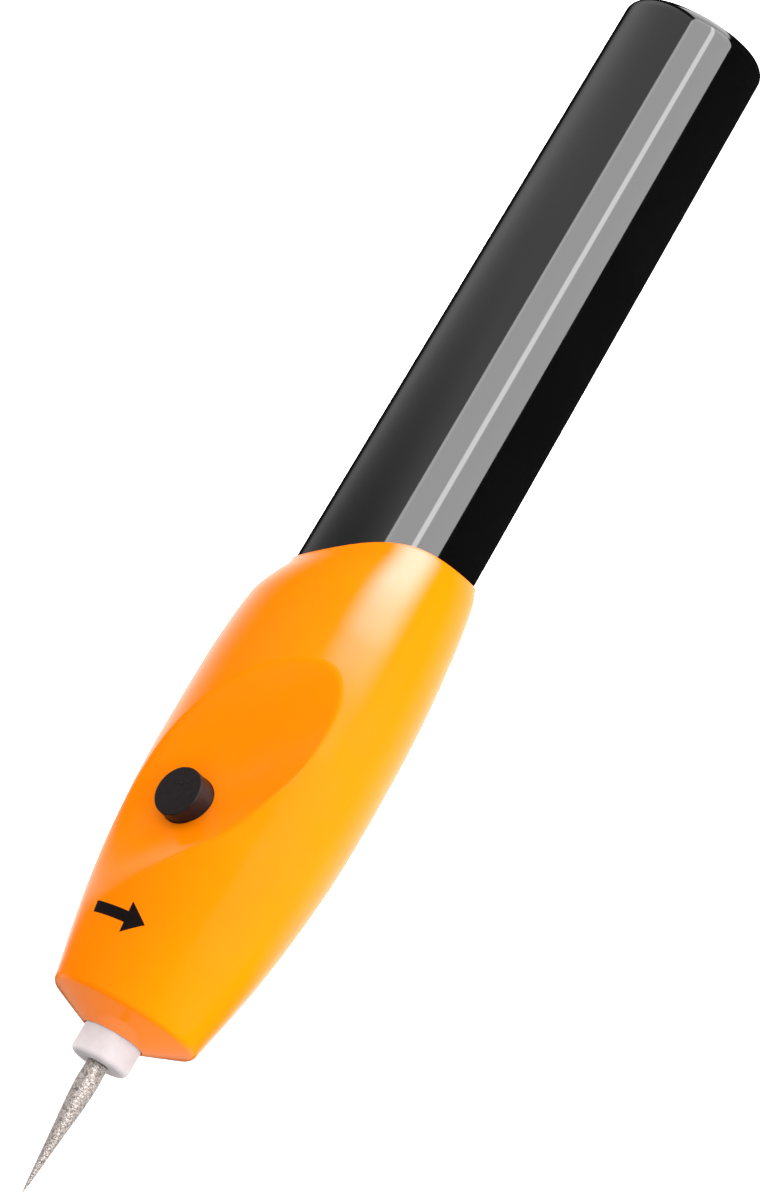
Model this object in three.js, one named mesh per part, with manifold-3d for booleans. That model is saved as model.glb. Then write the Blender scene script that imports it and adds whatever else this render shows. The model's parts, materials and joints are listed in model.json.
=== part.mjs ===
// Battery-powered engraving pen, in millimetres.
// The pen stands on its tail: the origin is the middle of the flat tail face, +Z runs along the pen's axis
// to the engraving point, and the power button faces -Y.
import * as THREE from "three";
import { mergeVertices } from "three/addons/utils/BufferGeometryUtils.js";
import Module from "manifold-3d";

const wasm = await Module();
wasm.setup();

// Facets round each kind of turned piece
const CASING_SIDES = 56;
const SMALL_SIDES = 24;
const WIRE_SIDES = 8;
const SPRING_SIDES = 5;
const SPRING_STEPS_PER_TURN = 10;
const CORNER_STEPS = 4;

// General clearances
const TOUCH_GAP = 0.3;
const RUNNING_GAP = 0.15;
const SEAT_GAP = 0.05;
const CUT_OVERRUN = 3;

// Battery tube
const TUBE_SLACK = 0.4;
const TUBE_FLARE = 0.95;
const TUBE_MOUTH_TO_HEAD = 3.8;
const TUBE_WALL = 1.4;
const TUBE_FLOOR = 1.6;
const TUBE_TAIL_ROUNDING = 2;

// Grip
const GRIP_BULGE = 3.1;
const GRIP_WIDEST_BEHIND_BUTTON = 11.6;
const GRIP_OVER_TUBE = 12.8;
const GRIP_RIM_SLANT = 4.1;
const GRIP_RIM_SLANT_AZIMUTH = 47;
const GRIP_RIM_LOBE = 2.15;
const GRIP_RIM_EDGE = 0.3;
const GRIP_NOSE_CONE = 2.7;
const GRIP_NOSE_CORNER = 1.3;
const GRIP_NOSE_LIP = 0.1;
const GRIP_SOCKET_STEP = 1.45;
const GRIP_FRONT_WEB = 1.3;
const GRIP_NOSE_GAP = 0.3;
// Radius along the nose: share of the way from the widest height to the nose's end, share of the grip radius
const GRIP_NOSE_SHARES = [
  [0.13, 0.999],
  [0.26, 0.987],
  [0.38, 0.962],
  [0.5, 0.927],
  [0.62, 0.88],
  [0.75, 0.811],
  [0.87, 0.738],
];
const GRIP_NOSE_SHOULDER_SHARE = 0.7;
// Radius along the rear, from the rim to the widest height: share of the way and share of the grip radius
// where the rim is highest off the tail and rounded widely, then where it is lowest and rounded tightly
const GRIP_REAR_SHARES = [
  { wide: [0.045, 0.814], tight: [0.03, 0.812] },
  { wide: [0.102, 0.857], tight: [0.1, 0.846] },
  { wide: [0.161, 0.896], tight: [0.22, 0.887] },
  { wide: [0.217, 0.926], tight: [0.39, 0.93] },
  { wide: [0.276, 0.945], tight: [0.48, 0.95] },
  { wide: [0.42, 0.97], tight: [0.6, 0.971] },
  { wide: [0.7, 0.995], tight: [0.78, 0.99] },
];

// Finger dish: a slanted trough pressed into the grip
const DISH_AZIMUTH = -11.7;
const DISH_BEHIND_BUTTON = 3.7;
const DISH_DEPTH = 4.8;
const DISH_HALF_WIDTH = 10.1;
const DISH_HALF_DEPTH = 7;
const DISH_LENGTH = 60;
const DISH_SLANT = 44.4;
const DISH_PITCH = -0.8;
const DISH_WALL = 2.15;
const DISH_SIDES = 32;

// Power button
const BUTTON_PAST_HEAD = 17.8;
const BUTTON_RADIUS = 3.3;
const BUTTON_RISE = 2.7;
const BUTTON_EDGE_ROUNDING = 0.35;
const BUTTON_FLANGE_LIP = 0.4;
const BUTTON_FLANGE_THICKNESS = 0.7;
const BUTTON_STEM_RADIUS = 1;
const BUTTON_STEM_LENGTH = 1.3;

// Motor
const MOTOR_PAST_FLANGE = 0.4;
const MOTOR_LENGTH = 16;
const MOTOR_WALL = 0.6;
const MOTOR_END_CAP_THICKNESS = 1.8;
const MOTOR_SHAFT_RADIUS = 1;
const MOTOR_SHAFT_TAIL = 1.2;
const MOTOR_SHAFT_IN_COLLAR = 3.6;
const MOTOR_BUSH_RADIUS = 2.2;
const MOTOR_FRONT_BUSH_LENGTH = 2.6;
const MOTOR_REAR_BUSH_LENGTH = 2;
const MAGNET_THICKNESS = 1.3;
const MAGNET_ARC = 90;
const ROTOR_GAP = 0.5;
const ROTOR_FLAT_GAP = 0.25;
const COMMUTATOR_RADIUS = 1.75;
const COMMUTATOR_LENGTH = 2;
const COMMUTATOR_SLOT = 0.35;
const CORE_POLES = 3;
const CORE_SHOE_ARC = 84;
const CORE_SHOE_THICKNESS = 0.9;
const CORE_NECK_WIDTH = 1.5;
const CORE_HUB_RADIUS = 1.9;
const WINDING_THICKNESS = 0.7;
const WINDING_DEPTH = 1.05;
const WINDING_OFF_HUB = 0.5;
const BRUSH_WIDTH = 1.4;
const BRUSH_THICKNESS = 0.35;
const BRUSH_OVERHANG = 2.4;
const TERMINAL_WIDTH = 2;
const TERMINAL_THICKNESS = 0.5;
const TERMINAL_TAIL = 2.4;
const TERMINAL_IN_CAP = 1.4;
const TERMINAL_SIDE_PLACE = 4.2;
const TERMINAL_BACK_PLACE = 3.4;

// Chuck collar and bur
const COLLAR_RADIUS = 3.83;
const COLLAR_PAST_NOSE = 3.6;
const COLLAR_CORNER = 0.7;
const BUR_LENGTH = 18;
const BUR_SHANK_RADIUS = 1.175;
const BUR_SHANK_DEPTH = 5.4;
const BUR_HEAD_RADIUS = 1.5;
const BUR_TIP_RADIUS = 0.12;
// Bur head: share of its length, share of its radius
const BUR_HEAD_SHARES = [
  [0.13, 0.93],
  [0.32, 0.84],
  [0.52, 0.56],
  [0.67, 0.42],
  [0.73, 0.31],
  [0.86, 0.23],
];

// Batteries, standard small cells
const BATTERY_RADIUS = 5.25;
const BATTERY_LENGTH = 44.5;
const BATTERY_NUB_RADIUS = 1.9;
const BATTERY_NUB_LENGTH = 0.8;
const BATTERY_CORNER = 0.5;

// Battery carrier
const CARRIER_TAIL_GAP = 0.6;
const CARRIER_END_WALL = 1.3;
const CARRIER_WALL = 1.55;
const CARRIER_SIDE_RISE = 1.5;
const CARRIER_HEAD_THICKNESS = 3;
const CONTACT_THICKNESS = 0.4;
const CONTACT_SPRING_WIRE = 0.3;
const CONTACT_SPRING_TURNS = 3;
const CONTACT_SPRING_LENGTH = 2.6;
const CONTACT_SPRING_LOW_RADIUS = 3.6;
const CONTACT_SPRING_HIGH_RADIUS = 2;

// Switch and wiring
const SHELF_WIDTH = 11;
const SHELF_THICKNESS = 1.6;
const SHELF_REACH = 0.2;
const SWITCH_BASE_WIDTH = 9;
const SWITCH_BASE_LENGTH = 10.5;
const SWITCH_BASE_THICKNESS = 1;
const SWITCH_STRIP_WIDTH = 2.6;
const SWITCH_STRIP_THICKNESS = 0.3;
const SWITCH_POST_LENGTH = 1.4;
const SWITCH_CLOSING_GAP = 0.9;
const RETURN_STRIP_WIDTH = 3;
const RETURN_STRIP_THICKNESS = 0.3;
const LEAD_RADIUS = 0.6;

// Colours, roughness and metalness of the materials
const orangePlastic = new THREE.MeshStandardMaterial({ color: 0xff7a05, roughness: 0.35 });
const blackPlastic = new THREE.MeshStandardMaterial({ color: 0x0b0b0d, roughness: 0.18 });
const buttonPlastic = new THREE.MeshStandardMaterial({ color: 0x241d1f, roughness: 0.55 });
const whiteNylon = new THREE.MeshStandardMaterial({ color: 0xeee6e0, roughness: 0.4 });
const innerPlastic = new THREE.MeshStandardMaterial({ color: 0x2d2e31, roughness: 0.6 });
const gritMetal = new THREE.MeshStandardMaterial({ color: 0x8d8880, roughness: 0.55, metalness: 0.8 });
const steel = new THREE.MeshStandardMaterial({ color: 0xb9bcc0, roughness: 0.3, metalness: 1 });
const copper = new THREE.MeshStandardMaterial({ color: 0xb5683a, roughness: 0.35, metalness: 1 });
const brass = new THREE.MeshStandardMaterial({ color: 0xc9a35a, roughness: 0.35, metalness: 1 });
const ferrite = new THREE.MeshStandardMaterial({ color: 0x3a3a3d, roughness: 0.7 });
const cellWrap = new THREE.MeshStandardMaterial({ color: 0x6f7a80, roughness: 0.35, metalness: 0.4 });
const leadRed = new THREE.MeshStandardMaterial({ color: 0xa51d1d, roughness: 0.5 });
const leadBlack = new THREE.MeshStandardMaterial({ color: 0x17171a, roughness: 0.5 });

// Distances from the axis, worked out from the cells, the rotor and the shaft outwards
const CHANNEL_RADIUS = BATTERY_RADIUS + TOUCH_GAP;
const CARRIER_RADIUS = CHANNEL_RADIUS + CARRIER_WALL;
const RETURN_STRIP_REACH = CARRIER_RADIUS + TOUCH_GAP;
const TUBE_TAIL_RADIUS = RETURN_STRIP_REACH + RETURN_STRIP_THICKNESS + TUBE_SLACK + TUBE_WALL;
const TUBE_MOUTH_RADIUS = TUBE_TAIL_RADIUS + TUBE_FLARE;
const SOCKET_RADIUS = TUBE_MOUTH_RADIUS + TOUCH_GAP;
const GRIP_CAVITY_RADIUS = SOCKET_RADIUS - GRIP_SOCKET_STEP;
const GRIP_RADIUS = SOCKET_RADIUS + GRIP_BULGE;
const GRIP_NOSE_BORE_RADIUS = COLLAR_RADIUS + GRIP_NOSE_GAP;
const WINDING_INNER_WIDTH = CORE_NECK_WIDTH + 2 * TOUCH_GAP;
const WINDING_OUTER_WIDTH = WINDING_INNER_WIDTH + 2 * WINDING_THICKNESS;
const WINDING_LOW_RADIUS = CORE_HUB_RADIUS + WINDING_OFF_HUB;
const WINDING_HIGH_RADIUS = WINDING_LOW_RADIUS + WINDING_DEPTH;
const SHOE_INNER_RADIUS = Math.hypot(WINDING_HIGH_RADIUS + TOUCH_GAP, WINDING_OUTER_WIDTH / 2);
const ROTOR_RADIUS = SHOE_INNER_RADIUS + CORE_SHOE_THICKNESS;
const MAGNET_INNER_RADIUS = ROTOR_RADIUS + ROTOR_GAP;
const MAGNET_OUTER_RADIUS = MAGNET_INNER_RADIUS + MAGNET_THICKNESS;
const CAN_INNER_RADIUS = MAGNET_OUTER_RADIUS + TOUCH_GAP;
const CAN_INNER_FLAT = ROTOR_RADIUS + ROTOR_FLAT_GAP;
const MOTOR_RADIUS = CAN_INNER_RADIUS + MOTOR_WALL;
const MOTOR_FLAT_REACH = CAN_INNER_FLAT + MOTOR_WALL;
const MOTOR_SEAT_RADIUS = MOTOR_RADIUS + TOUCH_GAP;

// Reaches from the axis towards -Y: from the dish's floor inwards, then from the shelf outwards
const DISH_FLOOR_RADIUS = GRIP_RADIUS - DISH_DEPTH;
const BUTTON_FACE_REACH = DISH_FLOOR_RADIUS + BUTTON_RISE;
const BUTTON_FLANGE_RADIUS = BUTTON_RADIUS + TOUCH_GAP + BUTTON_FLANGE_LIP;
const FLANGE_REACH = DISH_FLOOR_RADIUS - DISH_WALL - TOUCH_GAP;
const STEM_END_REACH = FLANGE_REACH - BUTTON_FLANGE_THICKNESS - BUTTON_STEM_LENGTH;
const LEAF_REACH = STEM_END_REACH - TOUCH_GAP;
const BASE_REACH = SHELF_REACH + SEAT_GAP + SWITCH_BASE_THICKNESS;
const STRIP_REACH = BASE_REACH + SEAT_GAP + SWITCH_STRIP_THICKNESS;

// Heights along the pen, worked out from the tube's floor forwards
const CARRIER_LOW = TUBE_FLOOR + CARRIER_TAIL_GAP;
const TAIL_PLATE_LOW = CARRIER_LOW + CARRIER_END_WALL + SEAT_GAP;
const TAIL_PLATE_HIGH = TAIL_PLATE_LOW + CONTACT_THICKNESS;
const TAIL_SPRING_LOW = TAIL_PLATE_HIGH + TOUCH_GAP;
const TAIL_SPRING_HIGH = TAIL_SPRING_LOW + CONTACT_SPRING_LENGTH;
const REAR_BATTERY_LOW = TAIL_SPRING_HIGH + TOUCH_GAP;
const FRONT_BATTERY_LOW = REAR_BATTERY_LOW + BATTERY_LENGTH + TOUCH_GAP;
const FRONT_PLATE_LOW = FRONT_BATTERY_LOW + BATTERY_LENGTH + TOUCH_GAP;
const FRONT_PLATE_HIGH = FRONT_PLATE_LOW + CONTACT_THICKNESS;
const HEAD_LOW = FRONT_PLATE_HIGH + SEAT_GAP;
const HEAD_HIGH = HEAD_LOW + CARRIER_HEAD_THICKNESS;
const TUBE_LENGTH = HEAD_LOW - TUBE_MOUTH_TO_HEAD;
const SOCKET_TOP = TUBE_LENGTH + TOUCH_GAP;
const GRIP_RIM_HEIGHT = TUBE_LENGTH - GRIP_OVER_TUBE;
const BUTTON_HEIGHT = HEAD_HIGH + BUTTON_PAST_HEAD;
const DISH_HEIGHT = BUTTON_HEIGHT - DISH_BEHIND_BUTTON;
const GRIP_WIDEST_HEIGHT = BUTTON_HEIGHT - GRIP_WIDEST_BEHIND_BUTTON;
const MOTOR_LOW = BUTTON_HEIGHT + BUTTON_FLANGE_RADIUS + MOTOR_PAST_FLANGE;
const MOTOR_HIGH = MOTOR_LOW + MOTOR_LENGTH;
const WEB_LOW = MOTOR_HIGH + TOUCH_GAP;
const WEB_HIGH = WEB_LOW + GRIP_FRONT_WEB;
const COLLAR_LOW = WEB_HIGH + TOUCH_GAP;
const SHAFT_HIGH = COLLAR_LOW + MOTOR_SHAFT_IN_COLLAR;
const SHANK_LOW = SHAFT_HIGH + 2 * TOUCH_GAP;
const COLLAR_FACE_HEIGHT = SHANK_LOW + BUR_SHANK_DEPTH;
const GRIP_NOSE_HEIGHT = COLLAR_FACE_HEIGHT - COLLAR_PAST_NOSE;
const NOSE_RUN = GRIP_NOSE_HEIGHT - GRIP_WIDEST_HEIGHT;

// Heights in the motor
const FRONT_BUSH_HIGH = WEB_HIGH - RUNNING_GAP;
const FRONT_BUSH_LOW = FRONT_BUSH_HIGH - MOTOR_FRONT_BUSH_LENGTH;
const CAP_HIGH = MOTOR_LOW + MOTOR_END_CAP_THICKNESS;
const REAR_BUSH_HIGH = MOTOR_LOW + MOTOR_REAR_BUSH_LENGTH;
const COMMUTATOR_LOW = REAR_BUSH_HIGH + TOUCH_GAP;
const COMMUTATOR_HIGH = COMMUTATOR_LOW + COMMUTATOR_LENGTH;
const WINDING_LOW = COMMUTATOR_HIGH + TOUCH_GAP;
const CORE_LOW = WINDING_LOW + WINDING_THICKNESS + TOUCH_GAP;
const CORE_HIGH = FRONT_BUSH_LOW - WINDING_THICKNESS - 2 * TOUCH_GAP;
const CORE_LENGTH = CORE_HIGH - CORE_LOW;
const MAGNET_HIGH = MOTOR_HIGH - MOTOR_WALL - TOUCH_GAP;
const SHELF_HIGH = MOTOR_LOW - MOTOR_SHAFT_TAIL - TOUCH_GAP;

const FULL_TURN = 2 * Math.PI;
const radians = (degrees) => THREE.MathUtils.degToRad(degrees);

// Solids from three.js geometries

function solidOf(geometry) {
  const bare = geometry.clone();
  bare.deleteAttribute("normal");
  bare.deleteAttribute("uv");
  const merged = mergeVertices(bare);
  return new wasm.Manifold(
    new wasm.Mesh({
      numProp: 3,
      vertProperties: merged.getAttribute("position").array,
      triVerts: new Uint32Array(merged.getIndex().array),
    }),
  );
}

function geometryOf(solid) {
  const mesh = solid.getMesh();
  const geometry = new THREE.BufferGeometry();
  geometry.setAttribute("position", new THREE.BufferAttribute(mesh.vertProperties, 3));
  geometry.setIndex(new THREE.BufferAttribute(mesh.triVerts, 1));
  geometry.computeVertexNormals();
  return geometry;
}

// A turned solid about Z from [radius, height] points that run up the outside.
function turned(points, sides) {
  const profile = points.map(([radius, height]) => new THREE.Vector2(radius, height));
  const geometry = new THREE.LatheGeometry(profile, sides);
  geometry.rotateX(Math.PI / 2);
  return solidOf(geometry);
}

// A plain disc or rod about Z.
function rod(radius, low, high, sides = SMALL_SIDES) {
  return turned([[0, low], [radius, low], [radius, high], [0, high]], sides);
}

// A ring about Z.
function ring(outer, inner, low, high, sides = SMALL_SIDES) {
  return turned([[inner, low], [outer, low], [outer, high], [inner, high], [inner, low]], sides);
}

function block(width, depth, height, x, y, z) {
  const geometry = new THREE.BoxGeometry(width, depth, height);
  geometry.translate(x, y, z);
  return solidOf(geometry);
}

// Points of a quarter round corner between a side and a face, from the side to the face.
function corner(centreRadius, centreHeight, rounding, from, to) {
  const points = [];
  for (let step = 0; step <= CORNER_STEPS; step += 1) {
    const angle = radians(from + ((to - from) * step) / CORNER_STEPS);
    points.push([centreRadius + rounding * Math.cos(angle), centreHeight + rounding * Math.sin(angle)]);
  }
  return points;
}

// Points of a rounded corner, from the side of one neighbouring point to the side of the other.
function roundedCorner(before, middle, after, rounding) {
  const start = before.clone().sub(middle).setLength(rounding).add(middle);
  const end = after.clone().sub(middle).setLength(rounding).add(middle);
  return new THREE.QuadraticBezierCurve(start, middle, end).getPoints(CORNER_STEPS);
}

// A wire along a curve.
function wire(curve, radius, steps, sides) {
  const section = new THREE.Shape();
  for (let side = 0; side < sides; side += 1) {
    const angle = (FULL_TURN * side) / sides;
    const point = [radius * Math.cos(angle), radius * Math.sin(angle)];
    if (side === 0) section.moveTo(...point);
    else section.lineTo(...point);
  }
  section.closePath();
  return new THREE.ExtrudeGeometry(section, { steps, extrudePath: curve, curveSegments: 1 });
}

// A coil spring about Z, from height low to high, with its radius at each end.
class Coil extends THREE.Curve {
  constructor(lowRadius, highRadius, low, high, turns) {
    super();
    Object.assign(this, { lowRadius, highRadius, low, high, turns });
  }

  getPoint(share, target = new THREE.Vector3()) {
    const angle = FULL_TURN * this.turns * share;
    const radius = this.lowRadius + (this.highRadius - this.lowRadius) * share;
    return target.set(
      radius * Math.cos(angle),
      radius * Math.sin(angle),
      this.low + (this.high - this.low) * share,
    );
  }
}

function spring(lowRadius, highRadius, low, high, wireRadius, turns) {
  const curve = new Coil(lowRadius, highRadius, low + wireRadius, high - wireRadius, turns);
  return wire(curve, wireRadius, turns * SPRING_STEPS_PER_TURN, SPRING_SIDES);
}

const pen = new THREE.Group();

function add(name, shape, material, group = pen) {
  const geometry = shape.isBufferGeometry ? shape : geometryOf(shape);
  const mesh = new THREE.Mesh(geometry, material);
  mesh.name = name;
  group.add(mesh);
  return mesh;
}

// Battery tube: a tapered cup, open towards the grip.
function batteryTube() {
  const inside = (outer) => outer - TUBE_WALL;
  const round = TUBE_TAIL_ROUNDING;
  return turned(
    [
      [0, 0],
      ...corner(TUBE_TAIL_RADIUS - round, round, round, -90, 0),
      [TUBE_MOUTH_RADIUS, TUBE_LENGTH],
      [inside(TUBE_MOUTH_RADIUS), TUBE_LENGTH],
      [inside(TUBE_TAIL_RADIUS), TUBE_FLOOR],
      [0, TUBE_FLOOR],
    ],
    CASING_SIDES,
  );
}

// How high the grip's rear rim is at an angle round the axis: a slant with a lobe on either side
function rimHeight(angle) {
  const turn = angle - radians(GRIP_RIM_SLANT_AZIMUTH);
  return GRIP_RIM_HEIGHT + GRIP_RIM_SLANT * Math.cos(turn) - GRIP_RIM_LOBE * Math.sin(turn) ** 4;
}

// The grip's outside: rings of points whose heights follow the slanted rim at the rear.
function gripOutside() {
  const edgeShare = (SOCKET_RADIUS + GRIP_RIM_EDGE) / GRIP_RADIUS;
  const rearShares = [{ wide: [0, edgeShare], tight: [0, edgeShare] }, ...GRIP_REAR_SHARES];
  const rings = rearShares.map(({ wide, tight }) => (angle) => {
    const wideShare = (1 + Math.cos(angle - radians(GRIP_RIM_SLANT_AZIMUTH))) / 2;
    const rim = rimHeight(angle);
    const way = tight[0] + (wide[0] - tight[0]) * wideShare;
    const radius = tight[1] + (wide[1] - tight[1]) * wideShare;
    return [GRIP_RADIUS * Math.max(radius, edgeShare), rim + (GRIP_WIDEST_HEIGHT - rim) * way];
  });
  rings.push(() => [GRIP_RADIUS, GRIP_WIDEST_HEIGHT]);
  for (const [way, radius] of GRIP_NOSE_SHARES) {
    rings.push(() => [GRIP_RADIUS * radius, GRIP_WIDEST_HEIGHT + NOSE_RUN * way]);
  }
  const [lastWay, lastShare] = GRIP_NOSE_SHARES.at(-1);
  const side = new THREE.Vector2(GRIP_RADIUS * lastShare, GRIP_WIDEST_HEIGHT + NOSE_RUN * lastWay);
  const shoulderRadius = GRIP_RADIUS * GRIP_NOSE_SHOULDER_SHARE;
  const shoulder = new THREE.Vector2(shoulderRadius, GRIP_NOSE_HEIGHT - GRIP_NOSE_CONE);
  const lip = new THREE.Vector2(GRIP_NOSE_BORE_RADIUS + GRIP_NOSE_LIP, GRIP_NOSE_HEIGHT);
  for (const point of roundedCorner(side, shoulder, lip, GRIP_NOSE_CORNER)) {
    rings.push(() => [point.x, point.y]);
  }
  rings.push(() => [lip.x, lip.y]);
  return ringSolid(rings, CASING_SIDES);
}

// A closed solid from rings, each a function from the angle round the axis to [radius, height].
// The angle is zero towards -Y and grows towards +X. Each end closes on a point on the axis.
function ringSolid(rings, sides) {
  const positions = [];
  const faces = [];
  for (const ringAt of rings) {
    for (let side = 0; side < sides; side += 1) {
      const angle = (FULL_TURN * side) / sides;
      const [radius, height] = ringAt(angle);
      positions.push(radius * Math.sin(angle), -radius * Math.cos(angle), height);
    }
  }
  const last = rings.length - 1;
  for (let row = 0; row < last; row += 1) {
    for (let side = 0; side < sides; side += 1) {
      const next = (side + 1) % sides;
      const a = row * sides + side;
      const b = row * sides + next;
      faces.push(a, b, b + sides, a, b + sides, a + sides);
    }
  }
  const meanHeight = (ringAt) => (ringAt(0)[1] + ringAt(Math.PI)[1]) / 2;
  positions.push(0, 0, meanHeight(rings[0]), 0, 0, meanHeight(rings[last]));
  const lowPole = rings.length * sides;
  for (let side = 0; side < sides; side += 1) {
    const next = (side + 1) % sides;
    faces.push(lowPole, next, side);
    faces.push(lowPole + 1, last * sides + side, last * sides + next);
  }
  const geometry = new THREE.BufferGeometry();
  geometry.setAttribute("position", new THREE.Float32BufferAttribute(positions, 3));
  geometry.setIndex(faces);
  return solidOf(geometry);
}

// The tool that presses the finger dish, grown on all sides by a wall.
// Its section is an ellipse that is carried along a slanted line round the grip.
function dishTool(wall) {
  const section = new THREE.Shape();
  section.absellipse(0, 0, DISH_HALF_WIDTH + wall, DISH_HALF_DEPTH + wall, 0, FULL_TURN);
  const options = { depth: DISH_LENGTH, bevelEnabled: false, curveSegments: DISH_SIDES, steps: 1 };
  const geometry = new THREE.ExtrudeGeometry(section, options);
  geometry.translate(0, 0, -DISH_LENGTH / 2);
  const outwards = new THREE.Vector3(0, -1, 0);
  const across = new THREE.Vector3(0, 0, 1).applyAxisAngle(outwards, radians(DISH_SLANT));
  const along = new THREE.Vector3().crossVectors(across, outwards);
  const deep = outwards.clone().applyAxisAngle(along, radians(-DISH_PITCH));
  across.applyAxisAngle(along, radians(-DISH_PITCH));
  const place = new THREE.Matrix4().makeBasis(across, deep, along);
  const centre = outwards.multiplyScalar(DISH_FLOOR_RADIUS).addScaledVector(deep, DISH_HALF_DEPTH);
  place.setPosition(centre.x, centre.y, DISH_HEIGHT);
  geometry.applyMatrix4(place);
  geometry.rotateZ(radians(DISH_AZIMUTH));
  return solidOf(geometry);
}

// A block between two reaches from the axis towards -Y, about a middle x.
function frontBlock(width, fromReach, toReach, low, high, x = 0) {
  return block(width, toReach - fromReach, high - low, x, -(fromReach + toReach) / 2, (low + high) / 2);
}

// A turned piece whose axis points from the pen's axis towards -Y, at a height.
function facingButton(solid, height) {
  return solid.rotate([90, 0, 0]).translate([0, 0, height]);
}

function gripShell() {
  const low = GRIP_RIM_HEIGHT - GRIP_RIM_SLANT - GRIP_RIM_LOBE - CUT_OVERRUN;
  const high = GRIP_NOSE_HEIGHT + CUT_OVERRUN;
  const webHole = MOTOR_BUSH_RADIUS + TOUCH_GAP;
  const cavity = turned(
    [
      [0, low],
      [SOCKET_RADIUS, low],
      [SOCKET_RADIUS, SOCKET_TOP],
      [GRIP_CAVITY_RADIUS, SOCKET_TOP],
      [GRIP_CAVITY_RADIUS, MOTOR_LOW],
      [MOTOR_SEAT_RADIUS, MOTOR_LOW],
      [MOTOR_SEAT_RADIUS, WEB_LOW],
      [webHole, WEB_LOW],
      [webHole, WEB_HIGH],
      [GRIP_NOSE_BORE_RADIUS, WEB_HIGH],
      [GRIP_NOSE_BORE_RADIUS, high],
      [0, high],
    ],
    CASING_SIDES,
  );
  const hole = rod(BUTTON_RADIUS + TOUCH_GAP, 0, GRIP_RADIUS + CUT_OVERRUN);
  return gripOutside()
    .subtract(dishTool(0))
    .subtract(cavity.subtract(dishTool(DISH_WALL)))
    .subtract(facingButton(hole, BUTTON_HEIGHT));
}

function powerButton() {
  const rounding = BUTTON_EDGE_ROUNDING;
  const flangeLow = FLANGE_REACH - BUTTON_FLANGE_THICKNESS;
  const button = turned(
    [
      [0, STEM_END_REACH],
      [BUTTON_STEM_RADIUS, STEM_END_REACH],
      [BUTTON_STEM_RADIUS, flangeLow],
      [BUTTON_FLANGE_RADIUS, flangeLow],
      [BUTTON_FLANGE_RADIUS, FLANGE_REACH],
      [BUTTON_RADIUS, FLANGE_REACH],
      ...corner(BUTTON_RADIUS - rounding, BUTTON_FACE_REACH - rounding, rounding, 0, 90),
      [0, BUTTON_FACE_REACH],
    ],
    SMALL_SIDES,
  );
  return facingButton(button, BUTTON_HEIGHT);
}

// The motor's round outline with two flats, as a slab between two heights.
function flattedSlab(radius, flatReach, low, high) {
  const middle = (low + high) / 2;
  return rod(radius, low, high).intersect(
    block(2 * radius + CUT_OVERRUN, 2 * flatReach, high - low + CUT_OVERRUN, 0, 0, middle),
  );
}

function motorCan() {
  const bushHole = rod(MOTOR_BUSH_RADIUS + RUNNING_GAP, MOTOR_LOW, MOTOR_HIGH + CUT_OVERRUN);
  const inside = flattedSlab(
    CAN_INNER_RADIUS,
    CAN_INNER_FLAT,
    MOTOR_LOW - CUT_OVERRUN,
    MOTOR_HIGH - MOTOR_WALL,
  );
  return flattedSlab(MOTOR_RADIUS, MOTOR_FLAT_REACH, MOTOR_LOW, MOTOR_HIGH)
    .subtract(inside)
    .subtract(bushHole);
}

const TERMINAL_LOW = MOTOR_LOW - TERMINAL_TAIL;

function motorTerminal(side, grown = 0) {
  return block(
    TERMINAL_WIDTH + 2 * grown,
    TERMINAL_THICKNESS + 2 * grown,
    TERMINAL_TAIL + TERMINAL_IN_CAP + 2 * grown,
    side * TERMINAL_SIDE_PLACE,
    TERMINAL_BACK_PLACE,
    TERMINAL_LOW + (TERMINAL_TAIL + TERMINAL_IN_CAP) / 2,
  );
}

function motorEndCap() {
  return flattedSlab(CAN_INNER_RADIUS - TOUCH_GAP, CAN_INNER_FLAT - TOUCH_GAP, MOTOR_LOW, CAP_HIGH)
    .subtract(rod(MOTOR_BUSH_RADIUS + RUNNING_GAP, MOTOR_LOW - CUT_OVERRUN, CAP_HIGH + CUT_OVERRUN))
    .subtract(motorTerminal(1, TOUCH_GAP))
    .subtract(motorTerminal(-1, TOUCH_GAP));
}

// A curved block about Z, centred on the +X side.
function arcBlock(outer, inner, arc, low, high) {
  const section = new THREE.Shape();
  section.absarc(0, 0, outer, radians(-arc / 2), radians(arc / 2), false);
  section.absarc(0, 0, inner, radians(arc / 2), radians(-arc / 2), true);
  section.closePath();
  const options = { depth: high - low, bevelEnabled: false, curveSegments: CORNER_STEPS * 2 };
  const geometry = new THREE.ExtrudeGeometry(section, options);
  geometry.translate(0, 0, low);
  return solidOf(geometry);
}

function motorMagnet(turn) {
  return arcBlock(
    MAGNET_OUTER_RADIUS,
    MAGNET_INNER_RADIUS,
    MAGNET_ARC,
    WINDING_LOW,
    MAGNET_HIGH,
  ).rotate([0, 0, turn]);
}

// A spring strip that lies along one side of the commutator and stands on the end cap.
function motorBrush(side) {
  const low = CAP_HIGH + SEAT_GAP;
  const middle = (COMMUTATOR_LOW + COMMUTATOR_HIGH) / 2;
  const fromReach = COMMUTATOR_RADIUS + TOUCH_GAP;
  const toReach = fromReach + BRUSH_THICKNESS;
  const postX = MOTOR_BUSH_RADIUS + BRUSH_WIDTH;
  const blade = frontBlock(
    postX + BRUSH_OVERHANG,
    fromReach,
    toReach,
    middle - BRUSH_WIDTH / 2,
    middle + BRUSH_WIDTH / 2,
    (postX - BRUSH_OVERHANG) / 2,
  );
  const post = frontBlock(BRUSH_WIDTH, fromReach, toReach, low, middle + BRUSH_WIDTH / 2, postX);
  return blade.add(post).rotate([0, 0, side > 0 ? 0 : 180]);
}

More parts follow.
